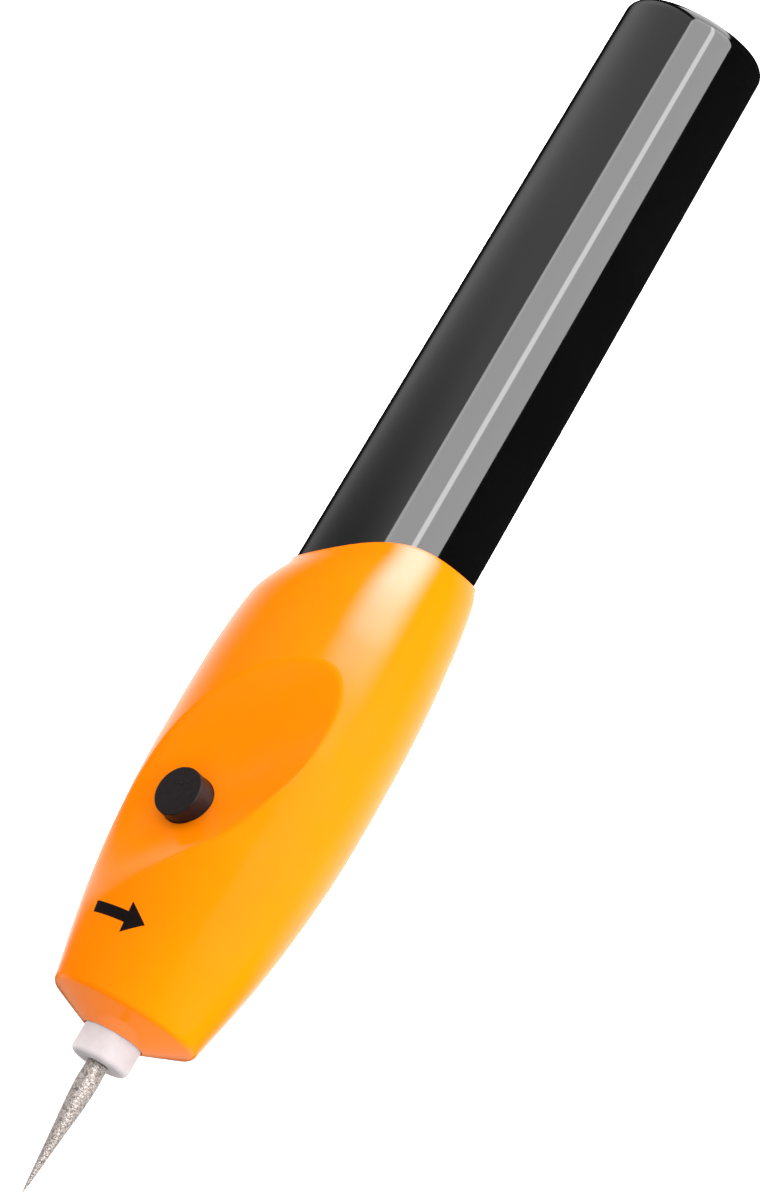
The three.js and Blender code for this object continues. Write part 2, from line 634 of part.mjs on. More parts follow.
function armatureCore() {
  let core = rod(CORE_HUB_RADIUS, CORE_LOW, CORE_HIGH);
  for (let pole = 0; pole < CORE_POLES; pole += 1) {
    const turn = (360 * pole) / CORE_POLES;
    const neckLength = SHOE_INNER_RADIUS + CORE_SHOE_THICKNESS / 2;
    const neck = block(
      neckLength,
      CORE_NECK_WIDTH,
      CORE_LENGTH,
      neckLength / 2,
      0,
      (CORE_LOW + CORE_HIGH) / 2,
    );
    const shoe = arcBlock(ROTOR_RADIUS, SHOE_INNER_RADIUS, CORE_SHOE_ARC, CORE_LOW, CORE_HIGH);
    core = core.add(neck.add(shoe).rotate([0, 0, turn]));
  }
  const bore = rod(MOTOR_SHAFT_RADIUS + RUNNING_GAP, CORE_LOW - CUT_OVERRUN, CORE_HIGH + CUT_OVERRUN);
  return core.subtract(bore);
}

// A winding round one neck of the core, clear of the shoe's inner curve.
function armatureWinding(turn) {
  const innerLength = CORE_LENGTH + 2 * TOUCH_GAP;
  const outerLength = innerLength + 2 * WINDING_THICKNESS;
  const middle = (WINDING_HIGH_RADIUS + WINDING_LOW_RADIUS) / 2;
  const height = (CORE_LOW + CORE_HIGH) / 2;
  const passage = block(WINDING_DEPTH + CUT_OVERRUN, WINDING_INNER_WIDTH, innerLength, middle, 0, height);
  return block(WINDING_DEPTH, WINDING_OUTER_WIDTH, outerLength, middle, 0, height)
    .subtract(passage)
    .rotate([0, 0, turn]);
}

function commutator() {
  let drum = ring(
    COMMUTATOR_RADIUS,
    MOTOR_SHAFT_RADIUS + RUNNING_GAP,
    COMMUTATOR_LOW,
    COMMUTATOR_HIGH,
  );
  for (let pole = 0; pole < CORE_POLES; pole += 1) {
    const slot = block(
      COMMUTATOR_SLOT,
      COMMUTATOR_SLOT,
      COMMUTATOR_LENGTH + CUT_OVERRUN,
      COMMUTATOR_RADIUS,
      0,
      (COMMUTATOR_LOW + COMMUTATOR_HIGH) / 2,
    );
    drum = drum.subtract(slot.rotate([0, 0, (360 * (pole + 1 / 2)) / CORE_POLES]));
  }
  return drum;
}

// The collar is pressed on the shaft from behind and takes the bur's shank from the front.
function chuckCollar() {
  const shaftBore = MOTOR_SHAFT_RADIUS + RUNNING_GAP;
  const shankBore = BUR_SHANK_RADIUS + RUNNING_GAP;
  const shoulder = SHANK_LOW - TOUCH_GAP;
  const rounding = COLLAR_CORNER;
  return turned(
    [
      [shaftBore, COLLAR_LOW],
      [COLLAR_RADIUS, COLLAR_LOW],
      ...corner(COLLAR_RADIUS - rounding, COLLAR_FACE_HEIGHT - rounding, rounding, 0, 90),
      [shankBore, COLLAR_FACE_HEIGHT],
      [shankBore, shoulder],
      [shaftBore, shoulder],
      [shaftBore, COLLAR_LOW],
    ],
    SMALL_SIDES,
  );
}

function engravingBur() {
  const headLow = COLLAR_FACE_HEIGHT + RUNNING_GAP;
  const headLength = BUR_LENGTH - RUNNING_GAP;
  const head = BUR_HEAD_SHARES.map(([way, radius]) => [
    BUR_HEAD_RADIUS * radius,
    headLow + headLength * way,
  ]);
  return turned(
    [
      [0, SHANK_LOW],
      [BUR_SHANK_RADIUS, SHANK_LOW],
      [BUR_SHANK_RADIUS, headLow],
      [BUR_HEAD_RADIUS, headLow],
      ...head,
      [BUR_TIP_RADIUS, headLow + headLength],
      [0, headLow + headLength],
    ],
    SMALL_SIDES,
  );
}

function battery(low) {
  const bodyHigh = low + BATTERY_LENGTH - BATTERY_NUB_LENGTH;
  const inner = BATTERY_RADIUS - BATTERY_CORNER;
  return turned(
    [
      [0, low],
      [inner, low],
      [BATTERY_RADIUS, low + BATTERY_CORNER],
      [BATTERY_RADIUS, bodyHigh - BATTERY_CORNER],
      [inner, bodyHigh],
      [BATTERY_NUB_RADIUS, bodyHigh],
      [BATTERY_NUB_RADIUS, low + BATTERY_LENGTH],
      [0, low + BATTERY_LENGTH],
    ],
    SMALL_SIDES,
  );
}

const FRONT_TAB_HIGH = HEAD_HIGH + 2 * CONTACT_THICKNESS;

// The front contact's tab goes up through the carrier's head, in line with a motor terminal.
function frontTab(grown = 0) {
  const height = FRONT_TAB_HIGH - FRONT_PLATE_LOW;
  return block(
    TERMINAL_WIDTH + 2 * grown,
    CONTACT_THICKNESS + 2 * grown,
    height + 2 * grown,
    TERMINAL_SIDE_PLACE,
    TERMINAL_BACK_PLACE,
    FRONT_PLATE_LOW + height / 2,
  );
}

function frontContactPlate() {
  const plateRadius = BATTERY_RADIUS - TOUCH_GAP;
  const arm = block(
    TERMINAL_WIDTH,
    TERMINAL_BACK_PLACE,
    CONTACT_THICKNESS,
    TERMINAL_SIDE_PLACE,
    (TERMINAL_BACK_PLACE + CONTACT_THICKNESS) / 2,
    (FRONT_PLATE_LOW + FRONT_PLATE_HIGH) / 2,
  );
  return rod(plateRadius, FRONT_PLATE_LOW, FRONT_PLATE_HIGH).add(arm).add(frontTab());
}

function tailContactPlate(grown = 0) {
  const plate = rod(BATTERY_RADIUS - TOUCH_GAP, TAIL_PLATE_LOW, TAIL_PLATE_HIGH);
  const tab = frontBlock(
    RETURN_STRIP_WIDTH + 2 * grown,
    0,
    CARRIER_RADIUS + grown,
    TAIL_PLATE_LOW - grown,
    TAIL_PLATE_HIGH + grown,
  );
  return plate.add(tab);
}

function batteryCarrier() {
  const endWallHigh = CARRIER_LOW + CARRIER_END_WALL;
  const channel = rod(CHANNEL_RADIUS, endWallHigh, HEAD_LOW);
  const middle = (endWallHigh + HEAD_LOW) / 2;
  const length = HEAD_LOW - endWallHigh;
  const openDepth = CARRIER_RADIUS + CUT_OVERRUN;
  const way = block(2 * CHANNEL_RADIUS, openDepth, length, 0, openDepth / 2, middle);
  const openSide = block(
    2 * openDepth,
    openDepth,
    length,
    0,
    CARRIER_SIDE_RISE + openDepth / 2,
    middle,
  );
  const head = rod(GRIP_CAVITY_RADIUS - TOUCH_GAP, HEAD_LOW, HEAD_HIGH, CASING_SIDES);
  const shelf = frontBlock(
    SHELF_WIDTH,
    SHELF_REACH - SHELF_THICKNESS,
    SHELF_REACH,
    HEAD_LOW,
    SHELF_HIGH,
  );
  const stripSlot = frontBlock(
    RETURN_STRIP_WIDTH + 2 * TOUCH_GAP,
    CARRIER_RADIUS,
    RETURN_STRIP_REACH + RETURN_STRIP_THICKNESS + TOUCH_GAP,
    HEAD_LOW - CUT_OVERRUN,
    HEAD_HIGH + CUT_OVERRUN,
  );
  return rod(CARRIER_RADIUS, CARRIER_LOW, HEAD_LOW)
    .subtract(channel)
    .subtract(way)
    .subtract(openSide)
    .add(head)
    .add(shelf)
    .subtract(tailContactPlate(TOUCH_GAP))
    .subtract(frontTab(TOUCH_GAP))
    .subtract(stripSlot);
}

const BASE_HIGH = SHELF_HIGH - TOUCH_GAP;
const BASE_LOW = BASE_HIGH - SWITCH_BASE_LENGTH;

function switchBase() {
  return frontBlock(
    SWITCH_BASE_WIDTH,
    SHELF_REACH + SEAT_GAP,
    BASE_REACH,
    BASE_LOW,
    BASE_HIGH,
  );
}

// A spring strip over the switch base, standing on a foot at its tail end. The button's stem bends it.
function switchLeaf() {
  const bottom = LEAF_REACH - SWITCH_STRIP_THICKNESS;
  const footHigh = BASE_LOW + SWITCH_POST_LENGTH;
  const blade = frontBlock(SWITCH_STRIP_WIDTH, bottom, LEAF_REACH, BASE_LOW, BASE_HIGH);
  const foot = frontBlock(SWITCH_STRIP_WIDTH, BASE_REACH + SEAT_GAP, LEAF_REACH, BASE_LOW, footHigh);
  return blade.add(foot);
}

// The fixed contact: a strip on the base with an upturned end under the leaf's tip.
function switchContact() {
  const bottom = BASE_REACH + SEAT_GAP;
  const tipReach = LEAF_REACH - SWITCH_STRIP_THICKNESS - SWITCH_CLOSING_GAP;
  const low = BASE_LOW + SWITCH_POST_LENGTH + 2 * TOUCH_GAP;
  const strip = frontBlock(SWITCH_STRIP_WIDTH, bottom, STRIP_REACH, low, BASE_HIGH);
  const tip = frontBlock(
    SWITCH_STRIP_WIDTH,
    bottom,
    tipReach,
    BASE_HIGH - SWITCH_POST_LENGTH,
    BASE_HIGH,
  );
  return strip.add(tip);
}

// The return strip runs outside the carrier from the tail contact, through the head, to the leaf's foot.
function returnStrip() {
  const outer = RETURN_STRIP_REACH + RETURN_STRIP_THICKNESS;
  const bendLow = HEAD_HIGH + CONTACT_THICKNESS;
  const bendHigh = bendLow + RETURN_STRIP_THICKNESS;
  const bottom = BASE_REACH + SEAT_GAP;
  const run = frontBlock(RETURN_STRIP_WIDTH, RETURN_STRIP_REACH, outer, TAIL_PLATE_LOW, bendHigh);
  const step = frontBlock(RETURN_STRIP_WIDTH, bottom, outer, bendLow, bendHigh);
  const rise = frontBlock(RETURN_STRIP_WIDTH, bottom, STRIP_REACH, bendLow, BASE_LOW - TOUCH_GAP);
  return run.add(step).add(rise);
}

function lead(points) {
  const curve = new THREE.CatmullRomCurve3(points.map((point) => new THREE.Vector3(...point)));
  return wire(curve, LEAD_RADIUS, points.length * CORNER_STEPS, WIRE_SIDES);
}

const LEAD_HIGH = TERMINAL_LOW - TOUCH_GAP;

// From the front contact's tab straight up behind the shelf to the motor.
function positiveLead() {
  const low = FRONT_TAB_HIGH + TOUCH_GAP;
  const bow = (way) => [
    TERMINAL_SIDE_PLACE,
    TERMINAL_BACK_PLACE + LEAD_RADIUS * Math.sin(Math.PI * way),
    low + (LEAD_HIGH - low) * way,
  ];
  return lead([0, 1 / 4, 1 / 2, 3 / 4, 1].map(bow));
}

// From the fixed contact round the edge of the shelf to the other motor terminal.
function negativeLead() {
  const edge = SHELF_WIDTH / 2;
  const clear = edge + 2 * LEAD_RADIUS;
  const start = STRIP_REACH + LEAD_RADIUS + TOUCH_GAP;
  const low = BASE_LOW + SWITCH_BASE_LENGTH / 2;
  const rise = LEAD_HIGH - low;
  return lead([
    [-SWITCH_STRIP_WIDTH / 2, -start, low],
    [-edge * (2 / 3), -start - LEAD_RADIUS / 2, low],
    [-clear, -BASE_REACH, low + rise / 8],
    [-clear, TERMINAL_BACK_PLACE / 2, low + rise / 3],
    [-(TERMINAL_SIDE_PLACE + LEAD_RADIUS), TERMINAL_BACK_PLACE, low + rise * (2 / 3)],
    [-TERMINAL_SIDE_PLACE, TERMINAL_BACK_PLACE, LEAD_HIGH],
  ]);
}

add("grip_shell", gripShell(), orangePlastic);
add("battery_tube", batteryTube(), blackPlastic);
add("power_button", powerButton(), buttonPlastic);
add("switch_base", switchBase(), innerPlastic);
add("switch_leaf", switchLeaf(), brass);
add("switch_contact", switchContact(), brass);

const motor = new THREE.Group();
pen.add(motor);
add("motor_can", motorCan(), steel, motor);
add("motor_end_cap", motorEndCap(), innerPlastic, motor);
add("motor_magnet_1", motorMagnet(0), ferrite, motor);
add("motor_magnet_2", motorMagnet(180), ferrite, motor);
add("motor_brush_1", motorBrush(1), brass, motor);
add("motor_brush_2", motorBrush(-1), brass, motor);
add("motor_terminal_1", motorTerminal(1), brass, motor);
add("motor_terminal_2", motorTerminal(-1), brass, motor);
const bushBore = MOTOR_SHAFT_RADIUS + RUNNING_GAP;
const frontBush = ring(
  MOTOR_BUSH_RADIUS,
  bushBore,
  FRONT_BUSH_LOW,
  FRONT_BUSH_HIGH,
);
add("motor_front_bush", frontBush, brass, motor);
add("motor_rear_bush", ring(MOTOR_BUSH_RADIUS, bushBore, MOTOR_LOW, REAR_BUSH_HIGH), brass, motor);

const spindle = new THREE.Group();
pen.add(spindle);
add("armature_core", armatureCore(), steel, spindle);
for (let pole = 0; pole < CORE_POLES; pole += 1) {
  const winding = armatureWinding((360 * pole) / CORE_POLES);
  add(`armature_winding_${pole + 1}`, winding, copper, spindle);
}
add("commutator", commutator(), copper, spindle);
add("motor_shaft", rod(MOTOR_SHAFT_RADIUS, MOTOR_LOW - MOTOR_SHAFT_TAIL, SHAFT_HIGH), steel, spindle);
add("chuck_collar", chuckCollar(), whiteNylon, spindle);
add("engraving_bur", engravingBur(), gritMetal, spindle);

const power = new THREE.Group();
pen.add(power);
add("battery_carrier", batteryCarrier(), innerPlastic, power);
add("battery_rear", battery(REAR_BATTERY_LOW), cellWrap, power);
add("battery_front", battery(FRONT_BATTERY_LOW), cellWrap, power);
add("front_contact_plate", frontContactPlate(), steel, power);
add("tail_contact_plate", tailContactPlate(), steel, power);
const tailSpring = spring(
  CONTACT_SPRING_LOW_RADIUS,
  CONTACT_SPRING_HIGH_RADIUS,
  TAIL_SPRING_LOW,
  TAIL_SPRING_HIGH,
  CONTACT_SPRING_WIRE,
  CONTACT_SPRING_TURNS,
);
add("tail_contact_spring", tailSpring, steel, power);
add("return_strip", returnStrip(), brass, power);
add("motor_lead_positive", positiveLead(), leadRed, power);
add("motor_lead_negative", negativeLead(), leadBlack, power);

export default pen;
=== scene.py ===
import json
import math

import bmesh
import bpy
import numpy as np
from mathutils import Matrix, Vector, noise


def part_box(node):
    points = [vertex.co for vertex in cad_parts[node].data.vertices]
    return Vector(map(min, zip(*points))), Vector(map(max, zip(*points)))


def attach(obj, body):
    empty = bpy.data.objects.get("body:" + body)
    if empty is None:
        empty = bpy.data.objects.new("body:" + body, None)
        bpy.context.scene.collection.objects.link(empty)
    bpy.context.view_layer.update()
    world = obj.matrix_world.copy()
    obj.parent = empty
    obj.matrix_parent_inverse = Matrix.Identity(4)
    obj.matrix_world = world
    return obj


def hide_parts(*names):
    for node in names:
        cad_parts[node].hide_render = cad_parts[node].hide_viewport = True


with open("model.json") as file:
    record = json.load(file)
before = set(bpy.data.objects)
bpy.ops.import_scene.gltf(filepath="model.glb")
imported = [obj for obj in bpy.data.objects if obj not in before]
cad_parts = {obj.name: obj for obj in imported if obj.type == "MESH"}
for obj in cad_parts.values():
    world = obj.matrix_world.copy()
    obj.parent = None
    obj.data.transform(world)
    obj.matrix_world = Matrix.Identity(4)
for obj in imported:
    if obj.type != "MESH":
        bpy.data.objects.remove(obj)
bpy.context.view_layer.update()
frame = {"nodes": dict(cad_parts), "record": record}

# A battery-powered engraving pen, in metres.
# It stands on its tail at the origin, +Z runs to the engraving point and the power button faces -Y.
# An angle round the pen is zero towards -Y and grows towards +X.
MM = 0.001

# Facets
CASING_SIDES = 240
PART_SIDES = 128
CORNER_STEPS = 8
SHARP_ANGLE = math.radians(38)

# Sizes taken from the frame
TUBE_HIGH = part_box("battery_tube")[1]
GRIP_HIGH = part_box("grip_shell")[1]
BUTTON_LOW, BUTTON_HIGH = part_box("power_button")
COLLAR_LOW, COLLAR_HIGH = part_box("chuck_collar")
BUR_LOW, BUR_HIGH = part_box("engraving_bur")
CAN_LOW, CAN_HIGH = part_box("motor_can")
BUTTON_HEIGHT = (BUTTON_LOW.z + BUTTON_HIGH.z) / 2

# General clearances
TOUCH_GAP = 0.3 * MM
RUNNING_GAP = 0.15 * MM
CUT_OVERRUN = 3 * MM
# A distance from the axis at which a line counts as missing everything
FAR = 1.0

# Battery tube
TUBE_TAIL_RADIUS = 9.5 * MM
TUBE_WALL = 1.4 * MM
TUBE_FLOOR = 1.6 * MM
TUBE_TAIL_ROUNDING = 2 * MM
TUBE_LIP_ROUNDING = 0.3 * MM

# Grip
GRIP_RADIUS = GRIP_HIGH.x
GRIP_WIDEST_HEIGHT = BUTTON_HEIGHT - 11.6 * MM
GRIP_RIM_HEIGHT = TUBE_HIGH.z - 12.8 * MM
GRIP_RIM_SLANT = 4.1 * MM
GRIP_RIM_SLANT_AZIMUTH = math.radians(47)
GRIP_RIM_LOBE = 2.15 * MM
# The rim's wall: its outer radius as a share of the grip's, its edge and how far both corners are rounded
GRIP_RIM_SHARE = 0.785
GRIP_RIM_EDGE = 0.25 * MM
GRIP_RIM_STRAIGHT = 4 * GRIP_RIM_EDGE
GRIP_RIM_INNER_SHARE = 1 / 8
GRIP_RIM_OUTER_SHARE = 3 / 4
GRIP_SOCKET_RADIUS = TUBE_HIGH.x + TOUCH_GAP
GRIP_CAVITY_RADIUS = 9.3 * MM
GRIP_NOSE_CORNER_HEIGHT = GRIP_HIGH.z - 2.6 * MM
GRIP_NOSE_CORNER_ROUNDING = 1.3 * MM
GRIP_NOSE_GAP = 0.12 * MM
GRIP_NOSE_BORE_RADIUS = COLLAR_HIGH.x + GRIP_NOSE_GAP
GRIP_NOSE_BORE_ROUNDING = 0.1 * MM
GRIP_WEB_HOLE_RADIUS = 2.5 * MM
GRIP_WEB = 1.3 * MM
GRIP_NOSE_SHARES = [(0, 1), (0.13, 0.999), (0.26, 0.987), (0.38, 0.962), (0.5, 0.927), (0.62, 0.88),
                    (0.75, 0.811), (0.87, 0.738), (0.932, 0.7)]
# Radius behind the widest place, from the rim: share of the way and share of the grip radius, where the rim
# is highest off the tail and rounded widely, then where it is lowest and rounded tightly
GRIP_REAR_SHARES = [
    ((0, GRIP_RIM_SHARE), (0, GRIP_RIM_SHARE)),
    ((0.045, 0.814), (0.012, 0.798)),
    ((0.102, 0.857), (0.05, 0.824)),
    ((0.161, 0.896), (0.1, 0.846)),
    ((0.217, 0.926), (0.22, 0.887)),
    ((0.276, 0.945), (0.39, 0.93)),
    ((0.42, 0.97), (0.555, 0.9635)),
    ((0.7, 0.995), (0.76, 0.988)),
    ((1, 1), (1, 1)),
]
# Spacing of the grip's mesh, fine round the dish and coarse elsewhere
GRIP_FINE_STEP = 0.18 * MM
GRIP_COARSE_STEP = 0.45 * MM
GRIP_FINE_SPAN = math.radians(64)
GRIP_FINE_LOW = BUTTON_HEIGHT - 22.5 * MM
GRIP_FINE_HIGH = BUTTON_HEIGHT + 12 * MM
GRIP_INNER_STEP = 0.8 * MM

# Finger dish: a slanted trough of elliptical section pressed into the grip
DISH_AZIMUTH = math.radians(-11.7)
DISH_HEIGHT = BUTTON_HEIGHT - 3.7 * MM
DISH_FLOOR_RADIUS = GRIP_RADIUS - 4.4 * MM
DISH_HALF_WIDTH = 10.1 * MM
DISH_HALF_DEPTH = 6.6 * MM
DISH_TANGENT_SHARE = 0.96
DISH_SLANT = math.radians(44.4)
DISH_PITCH = math.radians(-0.8)
DISH_WALL = 2.15 * MM
# How rounded the dish's edge is, how far along the dish it stays crisp on its upper and on its lower side,
# and over what length it softens
DISH_CRISP_EDGE = 0.35 * MM
DISH_UPPER_EDGE = 3 * MM
DISH_LOWER_EDGE = 5 * MM
DISH_UPPER_CRISP_END = -16.5 * MM
DISH_LOWER_CRISP_END = -7 * MM
DISH_SOFTENING = 8 * MM
DISH_SIDE_SHARES = (-0.7, 0)

# Power button
BUTTON_RADIUS = 3.3 * MM
BUTTON_PROUD = 0.4 * MM
BUTTON_GAP = 0.09 * MM
BUTTON_HOLE_RADIUS = BUTTON_RADIUS + BUTTON_GAP
BUTTON_FLANGE_THICKNESS = 0.7 * MM
BUTTON_FLANGE_REACH = 6.6 * MM
BUTTON_STEM_RADIUS = 1 * MM
BUTTON_EDGE_ROUNDING = 0.16 * MM
BUTTON_CROWN = 0.03 * MM
# Two specks of the mould on the button's face: place along X, place along Z and radius
BUTTON_SPECKS = ((0.13 * MM, -1 * MM, 0.17 * MM), (-0.77 * MM, -1.36 * MM, 0.14 * MM))
SPECK_ROUNDING_SHARE = 0.9
SPECK_SIDES = 16

# Collar and bur
COLLAR_CORNER = 0.7 * MM
COLLAR_BACK_CORNER = 0.2 * MM
COLLAR_MOUTH_CHAMFER = 0.25 * MM
SHAFT_BORE_RADIUS = 1.15 * MM
SHANK_RADIUS = 1.175 * MM
SHANK_BORE_RADIUS = SHANK_RADIUS + RUNNING_GAP
BUR_HEAD_RADIUS = 1.5 * MM
BUR_TIP_RADIUS = 0.1 * MM
BUR_HEAD_SHARES = [(0, 0.91), (0.04, 0.93), (0.12, 0.965), (0.255, 0.905), (0.39, 0.76), (0.524, 0.6),
                   (0.66, 0.452), (0.796, 0.308), (0.93, 0.155)]
BUR_SIDES = 96
BUR_STEP = 0.055 * MM
GRIT_SIZE = 0.16 * MM
GRIT_RISE = 0.085 * MM
GRIT_START_SHARES = (0.03, 0.09)
# The grains flatten out below this radius, and no point comes nearer to the axis than this share of its own
GRIT_THIN_RADIUS = 4 * GRIT_RISE
GRIT_LEAST_SHARE = 0.3
# Distance between neighbouring grains, in grain sizes, at which a grain has its full height
GRIT_FULL_HEIGHT = 0.5

# Turning arrow, printed on the grip
ARROW_HEIGHT = BUTTON_HEIGHT + 16.6 * MM
ARROW_START = math.radians(14.3)
ARROW_NECK = math.radians(-12.2)
ARROW_TIP = math.radians(-25.5)
ARROW_SHAFT_WIDTH = 1.4 * MM
ARROW_HEAD_WIDTH = 3.95 * MM
ARROW_PAINT = 0.02 * MM
ARROW_ANGLE_STEP = math.radians(0.7)
ARROW_ROWS = 8

# Batteries
CELL_SLEEVE_RADIUS = 5.25 * MM
CELL_END_RECESS = 0.25 * MM
CELL_CORNER = 0.5 * MM
CELL_NUB_RADIUS = 1.9 * MM
CELL_NUB_LENGTH = 0.8 * MM
CELL_END_RADIUS = 4.4 * MM

# Camera: how far it turns round the pen, how high it looks from and how much it rolls
CAMERA_AZIMUTH = math.radians(-43)
CAMERA_ELEVATION = math.radians(14)
CAMERA_AIM_HEIGHT = BUTTON_HEIGHT - 35.1 * MM
CAMERA_AIM_SIDE = 1.14 * MM
CAMERA_DISTANCE = 1.0
CAMERA_ROLL = math.radians(30.31)
CAMERA_SENSOR = 36.0
CAMERA_LENS = 246.5

# Studio
FLOOR_HALF_WIDTH = 8.0
FLOOR_DEPTH = 0.12
FLOOR_PATCH = 0.4
ROOM_LIGHT = 0.6
ROOM_REFLECTION = 0.015
UP = Vector((0, 0, 1))
CAMERA_SIDE = Vector((math.sin(CAMERA_AZIMUTH), -math.cos(CAMERA_AZIMUTH), 0))
CAMERA_RIGHT = CAMERA_SIDE.cross(UP)

# Lights. Each is a rectangle that fills some azimuths and elevations as seen from the pen, in degrees, with
# azimuth 0 towards the camera and 90 towards the picture's right. It stands upright, or square to the
# direction whose elevation is its tilt. It lights the pieces of its group, or all pieces, and it fades out
# over the soft shares of its width and height at its left, right, low and high edge.
LIGHT_DISTANCE = 0.6
WATTS_PER_BRIGHTNESS = 4
# Lights that show as reflections
GLOSS_LIGHTS = [
    dict(name="tube_band", azimuths=(-21.5, 52), elevations=(-60, -8), brightness=7.0, lit="tube"),
    dict(name="tube_foot", azimuths=(-24, 54), elevations=(-115, -59), brightness=5.0, lit="tube",
         soft=(0.1, 0.1, 0.3, 0), tilt=-60),
    dict(name="tube_line", azimuths=(12, 19), elevations=(-60, -8), brightness=7.3, lit="tube",
         distance_share=0.96),
    dict(name="tube_side", azimuths=(-150, -18), elevations=(-60, 0), brightness=1.15, lit="tube",
         soft=(0.5, 0, 0, 0.3)),
    dict(name="grip_key", azimuths=(-24, 63), elevations=(-70, -11), brightness=9.6, lit="grip",
         soft=(0.45, 0.45, 0.12, 0.47), tilt=-40),
    dict(name="grip_fringe_left", azimuths=(-178, -100), elevations=(-50, 5), brightness=1.0, lit="grip",
         soft=(0, 0.65, 0.62, 0.12)),
    dict(name="grip_rim_line", azimuths=(155, 205), elevations=(-78, -40), brightness=8.0, lit="grip",
         soft=(0.3, 0.3, 0, 0.3)),
    dict(name="grip_fringe_right", azimuths=(90, 178), elevations=(-50, 5), brightness=0.78, lit="grip",
         soft=(0.72, 0, 0, 0.12)),
    dict(name="grip_nose_glow", azimuths=(115, 245), elevations=(3, 75), brightness=0.32, lit="grip",
         blocked_by="grip", soft=(0.3, 0.3, 0.1, 0.6)),
    dict(name="small_key", azimuths=(-22, 53), elevations=(-60, 5), brightness=3.5, lit="others"),
    dict(name="small_surround_left", azimuths=(-170, -30), elevations=(-50, 40), brightness=0.7, lit="small"),
    dict(name="small_surround_right", azimuths=(60, 170), elevations=(-50, 40), brightness=0.7, lit="small"),
    dict(name="dark_surround", azimuths=(-170, -30), elevations=(-50, 40), brightness=0.3, lit="dark"),
    dict(name="back_softbox", azimuths=(168, 192), elevations=(-60, -5), brightness=6.0, distance_share=0.9),
]
# Lights that show only on dull surfaces
DULL_LIGHTS = [
    dict(name="key_fill", azimuths=(25, 100), elevations=(-55, 15), brightness=3.6, lit="but_collar"),
    dict(name="collar_fill", azimuths=(-70, 110), elevations=(-55, 15), brightness=1.55, lit="collar"),
    dict(name="left_fill", azimuths=(-120, -40), elevations=(-60, -10), brightness=1.7),
    dict(name="top_fill", azimuths=(-60, 120), elevations=(45, 75), brightness=1.0),
    dict(name="back_fill", azimuths=(150, 230), elevations=(-50, 30), brightness=2.0),
]


# Curves and meshes

def flowing(places, knots):
    """Values at the places of a smooth curve that keeps to the knots without overshooting them."""
    x, y = (np.array(column, float) for column in zip(*knots))
    step = np.diff(x)
    rise = np.diff(y) / step
    slope = np.concatenate(([rise[0]], np.zeros(len(rise) - 1), [rise[-1]]))
    same = rise[1:] * rise[:-1] > 0
    before, after = rise[:-1][same], rise[1:][same]
    slope[1:-1][same] = 2 * before * after / (before + after)
    places = np.clip(places, x[0], x[-1])
    at = np.clip(np.searchsorted(x, places) - 1, 0, len(step) - 1)
    share = (places - x[at]) / step[at]
    return (
        y[at] * (1 + 2 * share) * (1 - share) ** 2
        + slope[at] * step[at] * share * (1 - share) ** 2
        + y[at + 1] * share**2 * (3 - 2 * share)
        - slope[at + 1] * step[at] * share**2 * (1 - share)
    )


def ramp(value, low, high):
    """A smooth step from 0 at low to 1 at high."""
    share = np.clip((value - low) / (high - low), 0, 1)
    return share * share * (3 - 2 * share)


def filleted(corners):
    """Profile points from corners of (radius, height, rounding), each rounded by an arc."""
    points = []
    for index, (radius, height, rounding) in enumerate(corners):
        corner = Vector((radius, height))
        if rounding == 0:
            points.append(tuple(corner))
            continue
        back = (Vector(corners[index - 1][:2]) - corner).normalized()
        ahead = (Vector(corners[(index + 1) % len(corners)][:2]) - corner).normalized()
        half = back.angle(ahead) / 2
        centre = corner + (back + ahead).normalized() * rounding / math.sin(half)
        start = corner + back * rounding / math.tan(half) - centre
        end = corner + ahead * rounding / math.tan(half) - centre
        sweep = start.angle(end)
        for step in range(CORNER_STEPS + 1):
            share = step / CORNER_STEPS
            arm = (math.sin((1 - share) * sweep) * start + math.sin(share * sweep) * end) / math.sin(sweep)
            points.append(tuple(centre + arm))
    return points


def make_object(name, vertices, faces, material):
    mesh = bpy.data.meshes.new(name)
    mesh.from_pydata([tuple(v) for v in vertices], [], [tuple(f) for f in faces])
    mesh.update()
    obj = bpy.data.objects.new(name, mesh)
    bpy.context.scene.collection.objects.link(obj)
    mesh.materials.append(material)
    shade(obj)
    return obj


def shade(obj):
    """Smooth shading with sharp edges kept, and faces that all look outwards."""
    builder = bmesh.new()
    builder.from_mesh(obj.data)
    bmesh.ops.recalc_face_normals(builder, faces=builder.faces)
    builder.to_mesh(obj.data)
    builder.free()
    smooth(obj.data)


def smooth(mesh):
    mesh.polygons.foreach_set("use_smooth", [True] * len(mesh.polygons))
    mesh.set_sharp_from_angle(angle=SHARP_ANGLE)


def ring_faces(rings, sides, closed):
    """Faces between neighbouring rings of points, and from the last ring to the first where they close."""
    faces = []
    for ring in range(rings if closed else rings - 1):
        next_ring = (ring + 1) % rings
        for side in range(sides):
            after = (side + 1) % sides
            faces.append((ring * sides + side, ring * sides + after, next_ring * sides + after,
                          next_ring * sides + side))
    return faces


